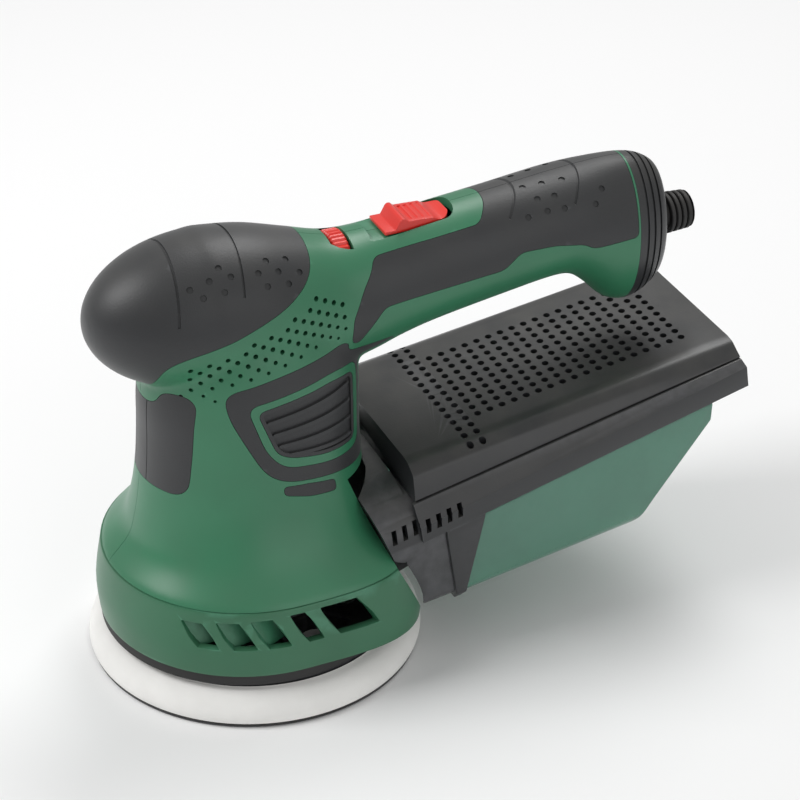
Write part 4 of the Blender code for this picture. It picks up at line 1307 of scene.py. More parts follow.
@dataclass
class Dots:
    """Dimples on the soft covers: place along Y, and bearing above the right side in degrees."""

    knob: tuple = ((-0.0244, 43), (-0.0206, 35), (-0.0172, 46), (-0.0128, 54), (-0.0094, 46), (-0.0130, 36),
                   (0.0049, 54), (0.0125, 54), (0.0007, 45), (0.0083, 44), (0.0163, 41), (0.0028, 34),
                   (0.0110, 33))
    handle: tuple = ((0.1077, 76), (0.1149, 74), (0.1225, 72), (0.1107, 57), (0.1172, 56), (0.1053, 40),
                     (0.1129, 42), (0.1195, 41), (0.1358, 53), (0.1318, 39))
    knob_axis: float = 0.1430
    handle_axis: float = 0.1470
    radius: float = 0.00125
    depth: float = 0.0005


@dataclass
class Housing:
    """The two shells with their grips, rear cap, skirt and fixed trim."""

    shop: Shop
    form: HousingForm = field(default_factory=HousingForm)
    lines: Outlines = field(default_factory=Outlines)
    dots: Dots = field(default_factory=Dots)
    bore: float = 0.0016
    head: float = 0.0028
    travel: float = 0.0045         # of the thumb slide
    # Place along Y, height, where the head sits along -X.
    screws: tuple = ((-0.0335, 0.0760, -0.0150), (-0.0200, 0.1090, -0.0170), (0.0230, 0.1400, -0.0190),
                     (0.0530, 0.1270, -0.0130), (0.1340, 0.1350, -0.0150))
    # Bearings of the two edges of each skirt vent at half height, in degrees, and its top.
    vents: tuple = ((-43.0, -34.5, 0.0405), (-29.5, -20.5, 0.0415), (-16.5, -8.0, 0.0422),
                    (-1.5, 4.5, 0.0428), (10.5, 25.0, 0.0430))
    vent_low: float = 0.0308
    vent_lean: float = 7.0
    rows_top: float = 0.0052       # green left between the knob cover and the first pins
    pin_radius: float = 0.00092
    step_back: Pair = (0.0034, -0.0017)
    step_up: Pair = (-0.0004, 0.0047)
    groove_half: float = 0.0005
    outer: Object = field(init=False)            # the whole outer surface, and the same moved inwards
    skin_level: Object = field(init=False)
    floor_level: Object = field(init=False)
    inner_level: Object = field(init=False)
    shallow_level: Object = field(init=False)
    trough_level: Object = field(init=False)
    tree: BVHTree = field(init=False)

    def build(self) -> None:
        """Makes every piece of the housing."""
        self.outer = self.form.outer()
        self.skin_level = moved_out(self.outer, -self.form.skin)
        self.floor_level = moved_out(self.outer, -self.form.skin - GAP)
        self.inner_level = moved_out(self.outer, -self.form.wall - 0.0003)
        self.shallow_level = moved_out(self.outer, -0.00055)
        self.trough_level = moved_out(self.outer, -0.00095)
        self.tree = BVHTree.FromPolygons([v.co for v in self.outer.data.vertices],
                                         [p.vertices for p in self.outer.data.polygons])
        self.grips()
        self.shells()
        self.rear_cap()
        self.gland()
        self.skirt()
        self.trim()
        self.fasteners()
        for spare in (self.outer, self.skin_level, self.floor_level, self.inner_level, self.shallow_level,
                      self.trough_level):
            bpy.data.objects.remove(spare)

    # ------------------------------------------------------------ shared cutters
    def rear_block(self, gap: float) -> Object:
        """Everything behind the start of the rear cap."""
        return box((-0.1, self.form.cap_start - gap, 0), (0.1, 0.3, 0.3))

    def control_openings(self, grow: float = 0.0) -> list[Object]:
        """The dial's window, the slide's recess and the slot in its floor.

        Args:
            grow: How much wider the window and the recess are made on each side.

        Returns:
            The three cutters.
        """
        low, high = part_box("speed_dial")
        centre = (low + high) / 2
        radius, reach = (high.x - low.x) / 2 + 0.0006 + grow, (high.y - low.y) / 2 + 0.0006 + grow
        window = prism(circle(radius, (0, centre.z)), centre.y - reach, centre.y + reach, along_y)
        low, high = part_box("slide_switch")
        run, front, rear = 0.0008 + grow, low.y - self.travel - 0.0008 - grow, high.y + 0.0020 + grow
        recess = prism(slide_plan(high.x + run, front, rear), low.z - 0.0004, 0.18, along_z)
        low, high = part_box("switch_link")
        slot = box((low.x - 0.0006, low.y - self.travel - 0.0020, 0.150),
                   (high.x + 0.0006, high.y + 0.0015, 0.18))
        return [window, recess, slot]

    def groove(self, y: float, z: float, lean: float, below: float) -> Object:
        """A thin slice of the outer layer, to be cut as a groove.

        Args:
            y: Place along Y.
            z: Height at which it is there.
            lean: Degrees by which it leans.
            below: How far it reaches down from there.

        Returns:
            The cutter.
        """
        slab = box((-0.06, -self.groove_half, -below), (0.06, self.groove_half, 0.06))
        turned_by(slab, Matrix.Translation((0, y, z)) @ Matrix.Rotation(math.radians(lean), 4, "X"))
        return boolean(slab, self.shallow_level, Solve.CUT, spare=True)

    def dimples(self, spots: Iterable[tuple[float, float]], axis: float) -> Object:
        """Shallow round pits at bearings round a lengthwise axis.

        Args:
            spots: Places along Y, and bearings in degrees.
            axis: Height of the axis.

        Returns:
            The cutter, on both sides.
        """
        places = []
        for y, bearing in spots:
            for side in (1, -1):
                a = math.radians(bearing)
                start = Vector((0, y, axis))
                hit, normal, _, _ = self.tree.ray_cast(start, Vector((side * math.cos(a), 0, math.sin(a))))
                turn = Vector(normal).to_track_quat("Z", "Y").to_euler()
                places.append(Spot(tuple(hit), tuple(turn)))
        return self.shop.patterns.pins(places, self.dots.radius, 2 * self.dots.depth, 16)

    # ------------------------------------------------------------ grips
    def grips(self) -> None:
        """The soft covers laid into the shells."""
        layer = boolean(twin(self.outer), self.skin_level, Solve.CUT, spare=True)
        cut(layer, self.form.behind_rear_face(-0.0006), self.rear_block(GAP), *self.control_openings(0.0012))
        knob = keep(twin(layer), self.lines.region("knob"))
        for y, lean, below in ((-0.0288, -9, 0.0100), (-0.0058, -12, 0.0035)):
            cut(knob, self.groove(y, 0.160, lean, below))
        cut(knob, self.dimples(self.dots.knob, self.dots.knob_axis))
        self.shop.fit(knob, "front_knob_cover", SOFT, Body.HOUSING, "front_knob_grip")
        pad = keep(twin(layer), self.lines.region("neck"))
        for x in (-0.0058, 0.0054):
            line = box((x, -0.06, 0.07), (x + 0.0004, 0.0, 0.13))
            cut(pad, boolean(line, self.shallow_level, Solve.CUT, spare=True))
        self.shop.fit(pad, "front_neck_pad", SOFT, Body.HOUSING, "neck_pad")
        handle = keep(twin(layer), self.lines.region("handle"))
        for y, z, lean, below in ((0.1041, 0.1662, -42, 0.0085), (0.1279, 0.1668, -37, 0.0070)):
            cut(handle, self.groove(y, z, lean, below))
        cut(handle, self.dimples(self.dots.handle, self.dots.handle_axis))
        self.pair(keep(twin(layer), self.lines.region("frame")), "side_frame", SOFT, "side_grip")
        self.pair(handle, "handle_cover", SOFT, "handle_grip")
        self.pair(self.insert(layer), "side_insert_pad", SOFT, "side_insert")
        # The side strip is dark soft rubber under the frame's lower edge, where the undercut lies in shade:
        # partly real rubber, partly painted shade.
        self.pair(keep(layer, self.lines.region("strip")), "side_strip", SOFT)

    def pair(self, right: Object, name: str, finish: Finish, node: str = "") -> None:
        """Finishes a right-hand piece and its mirror image.

        Args:
            right: The right-hand piece.
            name: Name after "right_" or "left_".
            finish: Material of both.
            node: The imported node's name after "right_" or "left_", if it has one.
        """
        left = mirrored(right)
        for side, obj in (("right", right), ("left", left)):
            nodes = [f"{side}_{node}"] if node else []
            self.shop.fit(obj, f"{side}_{name}", finish, Body.HOUSING, *nodes)

    def insert(self, layer: Object) -> Object:
        """The pad inside the side frame, with four raised ribs on a lowered floor.

        Args:
            layer: The outer layer that every grip is cut from.

        Returns:
            The right-hand pad.
        """
        pad = keep(twin(layer), self.lines.region("insert"))
        ribs = []
        for start, end in (((-0.0026, 0.1090), (0.0320, 0.1132)), ((-0.0006, 0.1040), (0.0322, 0.1062)),
                           ((0.0014, 0.0992), (0.0324, 0.0992)), ((0.0046, 0.0952), (0.0324, 0.0926))):
            ribs.append(prism(rounded(self.bar(start, end, 0.0013), 0.0015), 0.01, 0.09, along_x))
        trough = prism(self.lines.edge("insert", -0.0013), 0.01, 0.09, along_x)
        cut(trough, *ribs)
        boolean(trough, self.trough_level, Solve.CUT, spare=True)
        return cut(pad, trough)

    @staticmethod
    def bar(start: Pair, end: Pair, width: float) -> list[Pair]:
        """Outline of a straight bar between two points.

        Args:
            start: Middle of one end.
            end: Middle of the other.
            width: Its width.

        Returns:
            Its four corners.
        """
        along = (Vector(end) - Vector(start)).normalized()
        across = Vector((-along.y, along.x)) * (width / 2)
        corners = (Vector(start) - across, Vector(end) - across, Vector(end) + across, Vector(start) + across)
        return [tuple(corner) for corner in corners]

    # ------------------------------------------------------------ shells
    def shells(self) -> None:
        """The two green half shells."""
        shell = twin(self.outer)
        for name in ("knob", "neck"):
            cut(shell, self.lines.region(name, SEAM * 2))
        for name in ("frame", "insert", "strip", "handle"):
            cut(shell, *both_sides(self.lines.region(name, SEAM * 2)))
        boolean(shell, self.floor_level, Solve.JOIN, spare=True)
        boolean(shell, self.inner_level, Solve.CUT, spare=True)
        self.supports(shell)
        base = self.form.bell[0][0]
        cut(shell, self.form.behind_rear_face(), self.rear_block(0.0), box((-0.1, -0.1, 0.0), (0.1, 0.1, base)),
            *self.control_openings(), self.perforations())
        right = cut(twin(shell), box((-0.2, -0.2, -0.1), (SEAM, 0.3, 0.3)))
        left = cut(shell, box((-SEAM, -0.2, -0.1), (0.2, 0.3, 0.3)))
        spots = [Spot((head - 0.03, y, z), (0, math.pi / 2, 0)) for y, z, head in self.screws]
        cut(left, self.shop.patterns.pins(spots, self.head + 0.0003, 0.06, 24))
        self.shop.fit(right, "right_shell", GREEN, Body.HOUSING, "right_housing_shell")
        self.shop.fit(left, "left_shell", GREEN, Body.HOUSING, "left_housing_shell")

    def supports(self, shell: Object) -> None:
        """Adds the walls that hold the stator and the upper bearing.

        Args:
            shell: The hollow shell, before it is split.
        """
        stator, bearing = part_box("stator_core"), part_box("upper_bearing_outer_ring")
        bore, seat = stator[1].x + GAP, bearing[1].x + GAP
        for low in (0.0630, 0.0860):
            rib = turned([(bore, low), (0.07, low), (0.07, low + 0.003), (bore, low + 0.003)], count=64)
            if low < self.form.rear_top:
                cut(rib, self.form.behind_rear_face(-0.0036))
            join(shell, boolean(rib, self.floor_level, Solve.KEEP, spare=True))
        low, high = bearing[0].z - 0.0005, bearing[1].z + 0.0015
        wall = turned([(seat, low), (0.07, low), (0.07, high), (0.005, high), (0.005, bearing[1].z + GAP),
                       (seat, bearing[1].z + GAP)], count=64)
        join(shell, boolean(wall, self.floor_level, Solve.KEEP, spare=True))

    def perforations(self) -> Object:
        """Rows of round holes through both sides of the neck, under the knob cover."""
        walls = [self.lines.edge("knob", self.rows_top), self.lines.edge("frame", 0.0026),
                 self.lines.edge("handle", 0.0034)]
        spots = []
        for i in range(-12, 14):
            for j in range(-8, 9):
                y = 0.0050 + i * self.step_back[0] + j * self.step_up[0]
                z = 0.1390 + i * self.step_back[1] + j * self.step_up[1]
                top = 0.1515 - 0.46 * max(0.0, y - 0.0225)
                clear = -0.0295 < y < 0.0355 and 0.1185 < z < top
                if not clear or any(inside(wall, (y, z)) for wall in walls):
                    continue
                above = z - (0.1200 + 0.19 * (y + 0.025))
                size = min(1.0, max(0.62, 0.62 + 38 * above))
                spots.append(Spot((0, y, z), (0, math.pi / 2, 0), (size, size, 1.0)))
        return self.shop.patterns.pins(spots, self.pin_radius, 0.12, 14)

    def rear_cap(self) -> None:
        """The end cap of the handle, with three ring grooves."""
        cap = cut(twin(self.outer), box((-0.1, -0.2, 0), (0.1, self.form.cap_start + SEAM, 0.3)))
        boolean(cap, self.inner_level, Solve.CUT, spare=True)
        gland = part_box("cord_gland")
        height = (gland[0].z + gland[1].z) / 2
        cut(cap, prism(circle(0.0062, (0, height)), 0.150, 0.18, along_y))
        for y in (0.1535, 0.1565, 0.1595):
            cut(cap, self.groove(y, height, 0, 0.06))
        self.shop.fit(cap, "handle_end_cap", BLACK, Body.HOUSING, "rear_cap")

    def gland(self) -> None:
        """The ribbed rubber nose round the blind socket for the supply lead."""
        low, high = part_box("cord_gland")
        height = (low.z + high.z) / 2
        profile = [(0.0, 0.1560), (0.0085, 0.1560), (0.0085, 0.1600), (0.0058, 0.1600), (0.0058, 0.1690)]
        for k in range(4):
            y = 0.1690 + 0.0024 * k
            radius = 0.0078 - 0.00015 * k
            profile += [(radius - 0.0003, y), (radius, y + 0.0003), (radius, y + 0.0014),
                        (radius - 0.0003, y + 0.0017), (radius - 0.0014, y + 0.0018),
                        (radius - 0.0014, y + 0.0023)]
        profile += [(0.0070, 0.1787), (0.0066, high.y), (0.0040, high.y), (0.0036, high.y - 0.0004),
                    (0.0036, 0.1620), (0.0, 0.1620)]
        gland = turned(profile, count=48)
        turned_by(gland, Matrix.Translation((0, 0, height)) @ Matrix.Rotation(-math.pi / 2, 4, "X"))
        self.shop.fit(gland, "cord_gland_nose", RUBBER, Body.HOUSING, "cord_gland")

    # ------------------------------------------------------------ skirt and trim
    def vent(self, front: float, rear: float, top: float) -> Object:
        """A slanted opening in the skirt.

        Args:
            front: Bearing of its front edge at half height, in degrees.
            rear: Bearing of its rear edge.
            top: Height of its top edge.

        Returns:
            The cutter on the right side.
        """
        rings = []
        for z, lean in ((self.vent_low, self.vent_lean / 2), (top, -self.vent_lean / 2)):
            edges = [math.radians(a + lean) for a in (front, rear)]
            plan = [(0.044, edges[0]), (0.072, edges[0]), (0.072, edges[1]), (0.044, edges[1])]
            rings.append([(r * math.cos(a), r * math.sin(a), z) for r, a in plan])
        return bevelled(loft(rings), 0.0009, 3, 60)

    def louvre(self, front: float, top: float) -> Object:
        """A slanted fin behind a vent's front edge, running inwards and back.

        Args:
            front: Bearing of that edge at half height, in degrees.
            top: Height of the vent's top edge.

        Returns:
            The fin on the right side.
        """
        rings = []
        for z, lean in ((self.vent_low - 0.001, self.vent_lean / 2), (top + 0.001, -self.vent_lean / 2)):
            a = math.radians(front + lean)
            out, inward = Vector((math.cos(a), math.sin(a))), Vector((-math.sin(a), math.cos(a)))
            root, tip = out * 0.0535 - inward * 0.0008, out * 0.0478 + inward * 0.0058
            side = Vector((-(tip - root).y, (tip - root).x)).normalized() * 0.0006
            rings.append([(p.x, p.y, z) for p in (root - side, tip - side, tip + side, root + side)])
        return loft(rings)

    def skirt(self) -> None:
        """The flared green shroud, with slanted vents and the fins behind them."""
        skirt = cut(self.form.skirt_body(), self.form.skirt_body(-self.form.wall, 0.002, 0.002))
        cut(skirt, self.form.behind_skirt())
        for front, rear, top in self.vents:
            cut(skirt, *both_sides(self.vent(front, rear, top)))
        bevelled(skirt, 0.00035, 2, 50)
        fins = [fin for front, _, top in self.vents[:3] for fin in both_sides(self.louvre(front, top))]
        self.shop.fit(merged([skirt, *fins]), "skirt_with_vents", DEEP_GREEN, Body.HOUSING, "base_skirt")

    def trim(self) -> None:
        """The rubber ring under the skirt. Its outer wall rises to the skirt's lower edge, so its dark rubber
        shows there as a band that partly stands in for the shadow under the skirt: painted shade.
        """
        low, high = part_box("brake_ring")
        lip, flare, foot = 0.0004, high.x, self.form.skirt[0][0] - GAP
        outer, inner = flare - 0.0030, flare - 0.0105
        # The wall at the flare, from the foot up to the skirt, is real rubber and partly painted shade: a dark
        # band in place of the shadow gap.
        profile = [(inner, low.z + lip), (inner + lip, low.z), (outer, low.z), (flare - 0.0003, low.z),
                   (flare, low.z + 0.0003), (flare, foot), (outer, foot), (outer, high.z - 2 * lip),
                   (outer - lip, high.z - lip), (outer - 2 * lip, high.z), (inner, high.z)]
        ring = turned(profile, count=128)
        self.shop.fit(ring, "pad_brake_ring", RUBBER, Body.HOUSING, "brake_ring")

    def fasteners(self) -> None:
        """The five screws that hold the shells together."""
        shape = turned([(0.0, 0.0), (self.head, 0.0), (self.head, 0.0013), (self.head - 0.0006, 0.0021),
                        (0.0, 0.0023)], count=32)
        star = [circle(0.0015 if k % 2 else 0.0010, count=12)[k] for k in range(12)]
        cut(shape, prism(star, 0.0010, 0.004, along_z))
        join(shape, prism(circle(self.bore - 0.0003, count=16), -0.0280, 0.0002, along_z))
        spots = [Spot((head - 0.0003, y, z), (0, -math.pi / 2, 0)) for y, z, head in self.screws]
        screws = self.shop.patterns.copies(spots, shape)
        names = [f"housing_screw_{n}" for n in range(1, len(self.screws) + 1)]
        self.shop.fit(screws, "housing_screws", STEEL, Body.HOUSING, *names)


# ================================================================ controls
@dataclass
class Controls:
    """The slide switch and the speed wheel in the top panel."""

    shop: Shop
    teeth: int = 40
    tooth: float = 0.0006
    grooves: int = 4
    groove_pitch: float = 0.0024
    ridge: float = 0.0047          # start of the thumb ridge behind the slide's front
    edge: float = 0.0006

    def build(self) -> None:
        """Makes both controls."""
        self.slide()
        self.wheel()

    def slide(self) -> None:
        """The thumb slide: a low front plate, a rounded ridge, a grooved bed and a dished, round tail."""
        low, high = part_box("slide_switch")
        base, top, front = low.z, high.z - 0.0006, low.y + self.ridge
        dish = [(front + 0.0140 + 0.0068 * t, top - 0.0016 - 0.0013 * math.sin(math.pi * t)) for t in
                (0.0, 0.15, 0.3, 0.45, 0.6, 0.75, 0.9, 1.0)]
        outline = [(low.y, base), (low.y, base + 0.0014), (front - 0.0006, base + 0.0014),
                   (front + 0.0012, top - 0.0006), (front + 0.0020, top), (front + 0.0030, top),
                   (front + 0.0044, top - 0.0012), *dish, (high.y, top - 0.0020), (high.y, base)]
        slide = bevelled(prism(outline, low.x, high.x, along_x), self.edge, 4, 20)
        plan = prism(slide_plan(high.x, low.y, high.y), base, top + 0.0001, along_z)
        keep(slide, bevelled(plan, 0.0004, 3, 60))
        spots = [Spot((0, front + 0.0058 + k * self.groove_pitch, top - 0.0010), (0, math.pi / 2, 0))
                 for k in range(self.grooves)]
        cut(slide, self.shop.patterns.pins(spots, 0.00075, 0.0112, 16))
        self.shop.fit(slide, "thumb_slide", RED, Body.SLIDER, "slide_switch")
        low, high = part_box("switch_link")
        stem = bevelled(box(tuple(low), tuple(high)), 0.0003)
        self.shop.fit(stem, "slide_link", NYLON, Body.SLIDER, "switch_link")

    def wheel(self) -> None:
        """The knurled thumbwheel, whose axis runs along the handle."""
        low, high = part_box("speed_dial")
        middle = (low + high) / 2
        radius = (high.x - low.x) / 2
        rings = []
        for y, less in ((low.y, 0.0014), (low.y + 0.0003, 0.0007), (low.y + 0.0010, 0.0), (high.y - 0.0010, 0.0),
                        (high.y - 0.0003, 0.0007), (high.y, 0.0014)):
            points = []
            for i in range(self.teeth * 6):
                a = 2 * math.pi * i / (self.teeth * 6)
                r = radius - less - self.tooth * (0.5 - 0.5 * math.cos(self.teeth * a)) ** 2
                points.append((middle.x + r * math.cos(a), y, middle.z + r * math.sin(a)))
            rings.append(points)
        wheel = cut(loft(rings), prism(circle(0.0022, (0, middle.z)), 0, 0.1, along_y))
        for y in (low.y - 0.001, high.y - 0.0006):
            ring = turned([(0.0035, 0.0), (0.0095, 0.0), (0.0095, 0.0016), (0.0035, 0.0016)])
            place = Matrix.Translation((0, y + 0.0016, middle.z))
            cut(wheel, turned_by(ring, place @ Matrix.Rotation(math.pi / 2, 4, "X")))
        self.shop.fit(wheel, "speed_wheel", RED, Body.DIAL, "speed_dial")


# ================================================================ pad
@dataclass
class Pad:
    """The orbiting pad: foam, hook layer, backing plate, driver and screws."""

    shop: Shop
    holes: int = 8
    hole_radius: float = 0.0055
    hole_circle: float = 0.0325
    screw_circle: float = 0.0190
    ribs: int = 16
    centre: Pair = field(init=False)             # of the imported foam, as its radius and its top are
    radius: float = field(init=False)
    top: float = field(init=False)

    def build(self) -> None:
        """Makes every piece of the pad."""
        low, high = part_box("foam_pad")
        self.centre = ((low.x + high.x) / 2, (low.y + high.y) / 2)
        self.radius, self.top = (high.x - low.x) / 2, high.z
        self.foam(low.z)
        self.hook_layer()
        self.plate()
        self.driver()
        self.screws()

    def ring_of(self, shape: Object, count: int, radius: float, turn: float) -> Object:
        """Copies of a shape round the pad's axis.

        Args:
            shape: The shape, at the origin.
            count: How many.
            radius: Radius of their circle.
            turn: Bearing of the first, in degrees.

        Returns:
            One object.
        """
        ring = self.shop.patterns.circle(shape, count, radius)
        place = Matrix.Translation((*self.centre, 0)) @ Matrix.Rotation(math.radians(turn), 4, "Z")
        return turned_by(ring, place)

    def dust_holes(self, grow: float = 0.0) -> Object:
        """The cutter of the eight dust holes."""
        hole = disc(self.hole_radius + grow, -0.01, 0.03, count=40)
        return self.ring_of(hole, self.holes, self.hole_circle, 22.5)

    def screw_holes(self, radius: float, low: float, high: float, count: int = 48) -> Object:
        """The cutter of the four screw holes, between two heights."""
        return self.ring_of(disc(radius, low, high, count=count), 4, self.screw_circle, 45)

    def foam(self, bottom: float) -> None:
        """The soft foam disc, whose edge leans in towards the plate.

        Args:
            bottom: Height of its lower face.
        """
        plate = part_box("backing_plate")[1].x + GAP
        radius = self.radius
        edge = spline([(radius - 0.0010, bottom), (radius - 0.0002, bottom + 0.0009), (radius, 0.0042),
                       (radius - 0.0008, 0.0068), (radius - 0.0024, 0.0092), (radius - 0.0050, 0.0114),
                       (radius - 0.0078, self.top - 0.0003), (plate + 0.0006, self.top)], 3)
        profile = [(0.0, bottom), *[tuple(row) for row in edge], (plate, self.top - 0.0004), (plate, 0.0105),
                   (0.0, 0.0105)]
        foam = turned(profile, self.centre, 144)
        cut(foam, self.dust_holes(), self.screw_holes(0.0045, -0.01, 0.03))
        self.shop.fit(foam, "foam_disc", FOAM, Body.PAD, "foam_pad")

    def hook_layer(self) -> None:
        """The thin layer of hooks under the foam."""
        low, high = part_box("hook_face")
        radius = (high.x - low.x) / 2
        profile = [(0.0, low.z), (radius - 0.0003, low.z), (radius, low.z + 0.0003), (radius, high.z),
                   (0.0, high.z)]
        layer = turned(profile, self.centre, 144)
        cut(layer, self.dust_holes(0.0003), self.screw_holes(0.0047, -0.01, 0.03))
        self.shop.fit(layer, "hook_layer_disc", HOOK, Body.PAD, "hook_face")

    def plate(self) -> None:
        """The stiff plate, with a rim and radial ribs."""
        low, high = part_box("backing_plate")
        radius = (high.x - low.x) / 2
        profile = [(0.0, low.z), (radius, low.z), (radius, 0.0136), (radius - 0.0004, 0.0140),
                   (radius - 0.0016, 0.0140), (radius - 0.0020, 0.0136), (radius - 0.0028, 0.0128),
                   (0.0275, 0.0128), (0.0268, 0.0170), (0.0262, high.z), (0.0145, high.z), (0.0140, 0.0170),
                   (0.0140, 0.0150), (0.0, 0.0150)]
        plate = turned(profile, self.centre, 144)
        rib = box((-0.0115, -0.0006, 0.0120), (0.0115, 0.0006, 0.0139))
        join(plate, self.ring_of(rib, self.ribs, 0.0395, 0))
        cut(plate, self.dust_holes(), self.screw_holes(0.0019, 0.0, 0.03, 24),
            self.screw_holes(0.0042, 0.0, 0.0132))
        self.shop.fit(plate, "ribbed_backing_plate", BLACK, Body.PAD, "backing_plate")

    def driver(self) -> None:
        """The boss that carries the plate on the eccentric bearing."""
        low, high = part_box("pad_driver")
        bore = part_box("pad_bearing_inner_ring")
        stem = 0.0047
        profile = [(0.0, low.z), (0.0133, low.z), (0.0137, low.z + 0.0004), (0.0137, 0.0178), (0.0237, 0.0178),
                   (0.0240, 0.0181), (0.0240, 0.0202), (0.0236, 0.0206), (0.0105, 0.0215), (0.0088, 0.0222),
                   (0.0085, 0.0245), (0.0083, bore[0].z - GAP), (stem, bore[0].z - GAP), (stem, high.z - 0.0004),
                   (stem - 0.0004, high.z), (0.0, high.z)]
        driver = cut(turned(profile, self.centre, 96), self.screw_holes(0.0019, 0.0, 0.0300, 24))
        self.shop.fit(driver, "pad_drive_boss", NYLON, Body.PAD, "pad_driver")

    def screws(self) -> None:
        """The four screws from under the pad."""
        profile = [(0.0, 0.0110), (0.0033, 0.0110), (0.0036, 0.0113), (0.0039, 0.0129), (0.0016, 0.0129),
                   (0.0016, 0.0198), (0.0013, 0.0200), (0.0, 0.0200)]
        shape = turned(profile, count=32)
        for x, y in ((0.0003, 0.0022), (0.0022, 0.0003)):
            cut(shape, box((-x, -y, 0.0), (x, y, 0.0118)))
        names = [f"pad_screw_{n}" for n in range(1, 5)]
        screws = self.ring_of(shape, 4, self.screw_circle, 45)
        self.shop.fit(screws, "pad_fixing_screws", STEEL, Body.PAD, *names)


# ================================================================ dust box
@dataclass
class DustBox:
    """The slide-off dust box, in a frame that leans with its lid: s runs back, t up from the lid."""

    shop: Shop
    form: HousingForm
    slope: float = math.radians(8.6)
    pivot: Pair = (0.0525, 0.0819)
    length: float = 0.1310
    wall: float = 0.0022
    depth: float = 0.0605
    half: Pair = (0.0465, 0.0445)           # half width at the front and at the rear
    lid_foot: Pair = (-0.0122, 0.055)       # height of the edge at the front, rise per length
    band_foot: Pair = (-0.0205, 0.105)
    frame_foot: Pair = (-0.0272, 0.092)
    lid_pitch: Pair = (0.0048, 0.0050)
    lid_holes: tuple[int, int] = (10, 20)
    front_holes: tuple[int, int] = (16, 2)
    holes_start: float = 0.0213
    hole_radius: float = 0.00132
    slot_pitch: float = 0.0043
    folds: int = 36

    def tilted(self, x: float, s: float, t: float) -> Point:
        """A point of the box's own frame."""
        c, n = math.cos(self.slope), math.sin(self.slope)
        return (x, self.pivot[0] + s * c - t * n, self.pivot[1] + s * n + t * c)

    def tilt(self) -> Matrix:
        """The box's own frame as a matrix."""
        return Matrix.Translation((0, *self.pivot)) @ Matrix.Rotation(self.slope, 4, "X")

    def side(self, a: float, b: float, c: float) -> Point:
        """Side view in the box's frame."""
        return self.tilted(c, a, b)

    def taper(self, s: float) -> float:
        """Half width at a distance along the box."""
        return self.half[0] + (self.half[1] - self.half[0]) * max(0.0, s) / self.length

    @staticmethod
    def level(line: Pair, s: float, away: float = 0.0) -> float:
        """Height of one of the edge lines."""
        return line[0] + line[1] * s + away

    def along(self, stations: Sequence[float], shape: Callable[[float], Sequence[Pair]]) -> Object:
        """A loft along the box.

        Args:
            stations: Distances along it.
            shape: Gives the section at a distance.

        Returns:
            The body.
        """
        return loft([[self.tilted(x, s, t) for x, t in shape(s)] for s in stations])

    def tray(self, half: Callable[[float], float], top: Callable[[float], float], low: Callable[[float], float],
             stations: Sequence[float], edge: float = 0.0, arc: float = 0.0) -> Object:
        """A straight-sided body.

        Args:
            half: Half width at a distance.
            top: Upper level at a distance.
            low: Lower level at a distance.
            stations: Distances of its sections.
            edge: Cut of the lower corners.
            arc: Rounding of every corner.

        Returns:
            The body.
        """
        def shape(s: float) -> list[Pair]:
            """The section at a distance."""
            x, high, deep = half(s), top(s), low(s)
            points = [(x, deep), (x, high), (-x, high), (-x, deep)]
            if edge:
                points = [(x, deep + edge), (x, high), (-x, high), (-x, deep + edge), (-x + edge, deep),
                          (x - edge, deep)]
            return rounded(points, arc, 4) if arc else points
        return self.along(stations, shape)

    def build(self) -> None:
        """Makes the lid, the mouth, the filter and the bin."""
        self.lid()
        self.mouth()
        self.filter()
        self.bin()

    # ------------------------------------------------------------ lid
    def lid_section(self, s: float, grow: float = 0.0) -> list[Pair]:
        """The section of the lid's right half, from the foot up to the flat top.

        Args:
            s: Distance along the lid.
            grow: How far it is moved out.

        Returns:
            Its four points.
        """
        return [(self.taper(s) - 0.0042 + grow, self.level(self.lid_foot, s)),
                (self.taper(s) - 0.0072 + grow, -0.0030 + grow), (0.0345 + grow, -0.0006 + grow), (0.0310, grow)]

    def lid(self) -> None:
        """The perforated lid."""
        def outer(s: float) -> list[Pair]:
            """The outer section."""
            half = self.lid_section(s)
            return rounded(half + [(-x, t) for x, t in reversed(half)], 0.0014, 4)

        def inner(s: float) -> list[Pair]:
            """The inner section, open below."""
            half = self.lid_section(s, -self.wall)
            half[0] = (half[0][0], half[0][1] - 0.005)
            return half + [(-x, t) for x, t in reversed(half)]
        lid = self.along([-0.0060 + (self.length + 0.0060) * k / 8 for k in range(9)], outer)
        front = [(-0.0008, 0.01), (-0.0052, -0.0135), (-0.02, -0.0135), (-0.02, 0.01)]
        cut(lid, prism(front, -0.1, 0.1, self.side))
        bevelled(lid, 0.0007, 3, 40)
        cut(lid, self.along((0.0026, self.length - self.wall), inner))
        for columns, rows in (self.lid_holes, self.front_holes):
            grid = self.shop.patterns.grid(columns, rows, self.lid_pitch, self.hole_radius, 0.009, 1.15, 14)
            middle = self.holes_start + self.lid_pitch[1] * (rows - 1) / 2
            cut(lid, turned_by(grid, self.tilt() @ Matrix.Translation((0, middle, 0.0))))
        self.shop.fit(lid, "perforated_lid", BLACK, Body.DUST_BOX, "dust_box_lid")

    # ------------------------------------------------------------ mouth and frame
    def arch(self, grow: float, near: float, far: float) -> Object:
        """The rounded front block.

        Args:
            grow: How far its surface is moved out.
            near: Where it begins along the lid.
            far: Where it ends.

        Returns:
            The body.
        """
        def shape(s: float) -> list[Pair]:
            """The arched section."""
            half, top, low, foot = self.taper(s) + grow, -0.0070 + grow, -self.depth - grow, -0.0300
            points = [(power(math.cos(a), 0.62) * half, foot + power(math.sin(a), 0.8) * (top - foot))
                      for a in (math.pi * k / 56 for k in range(57))]
            return points + [(-half, low + 0.004), (-half + 0.004, low), (half - 0.004, low),
                             (half, low + 0.004)]
        return self.along((near, far), shape)

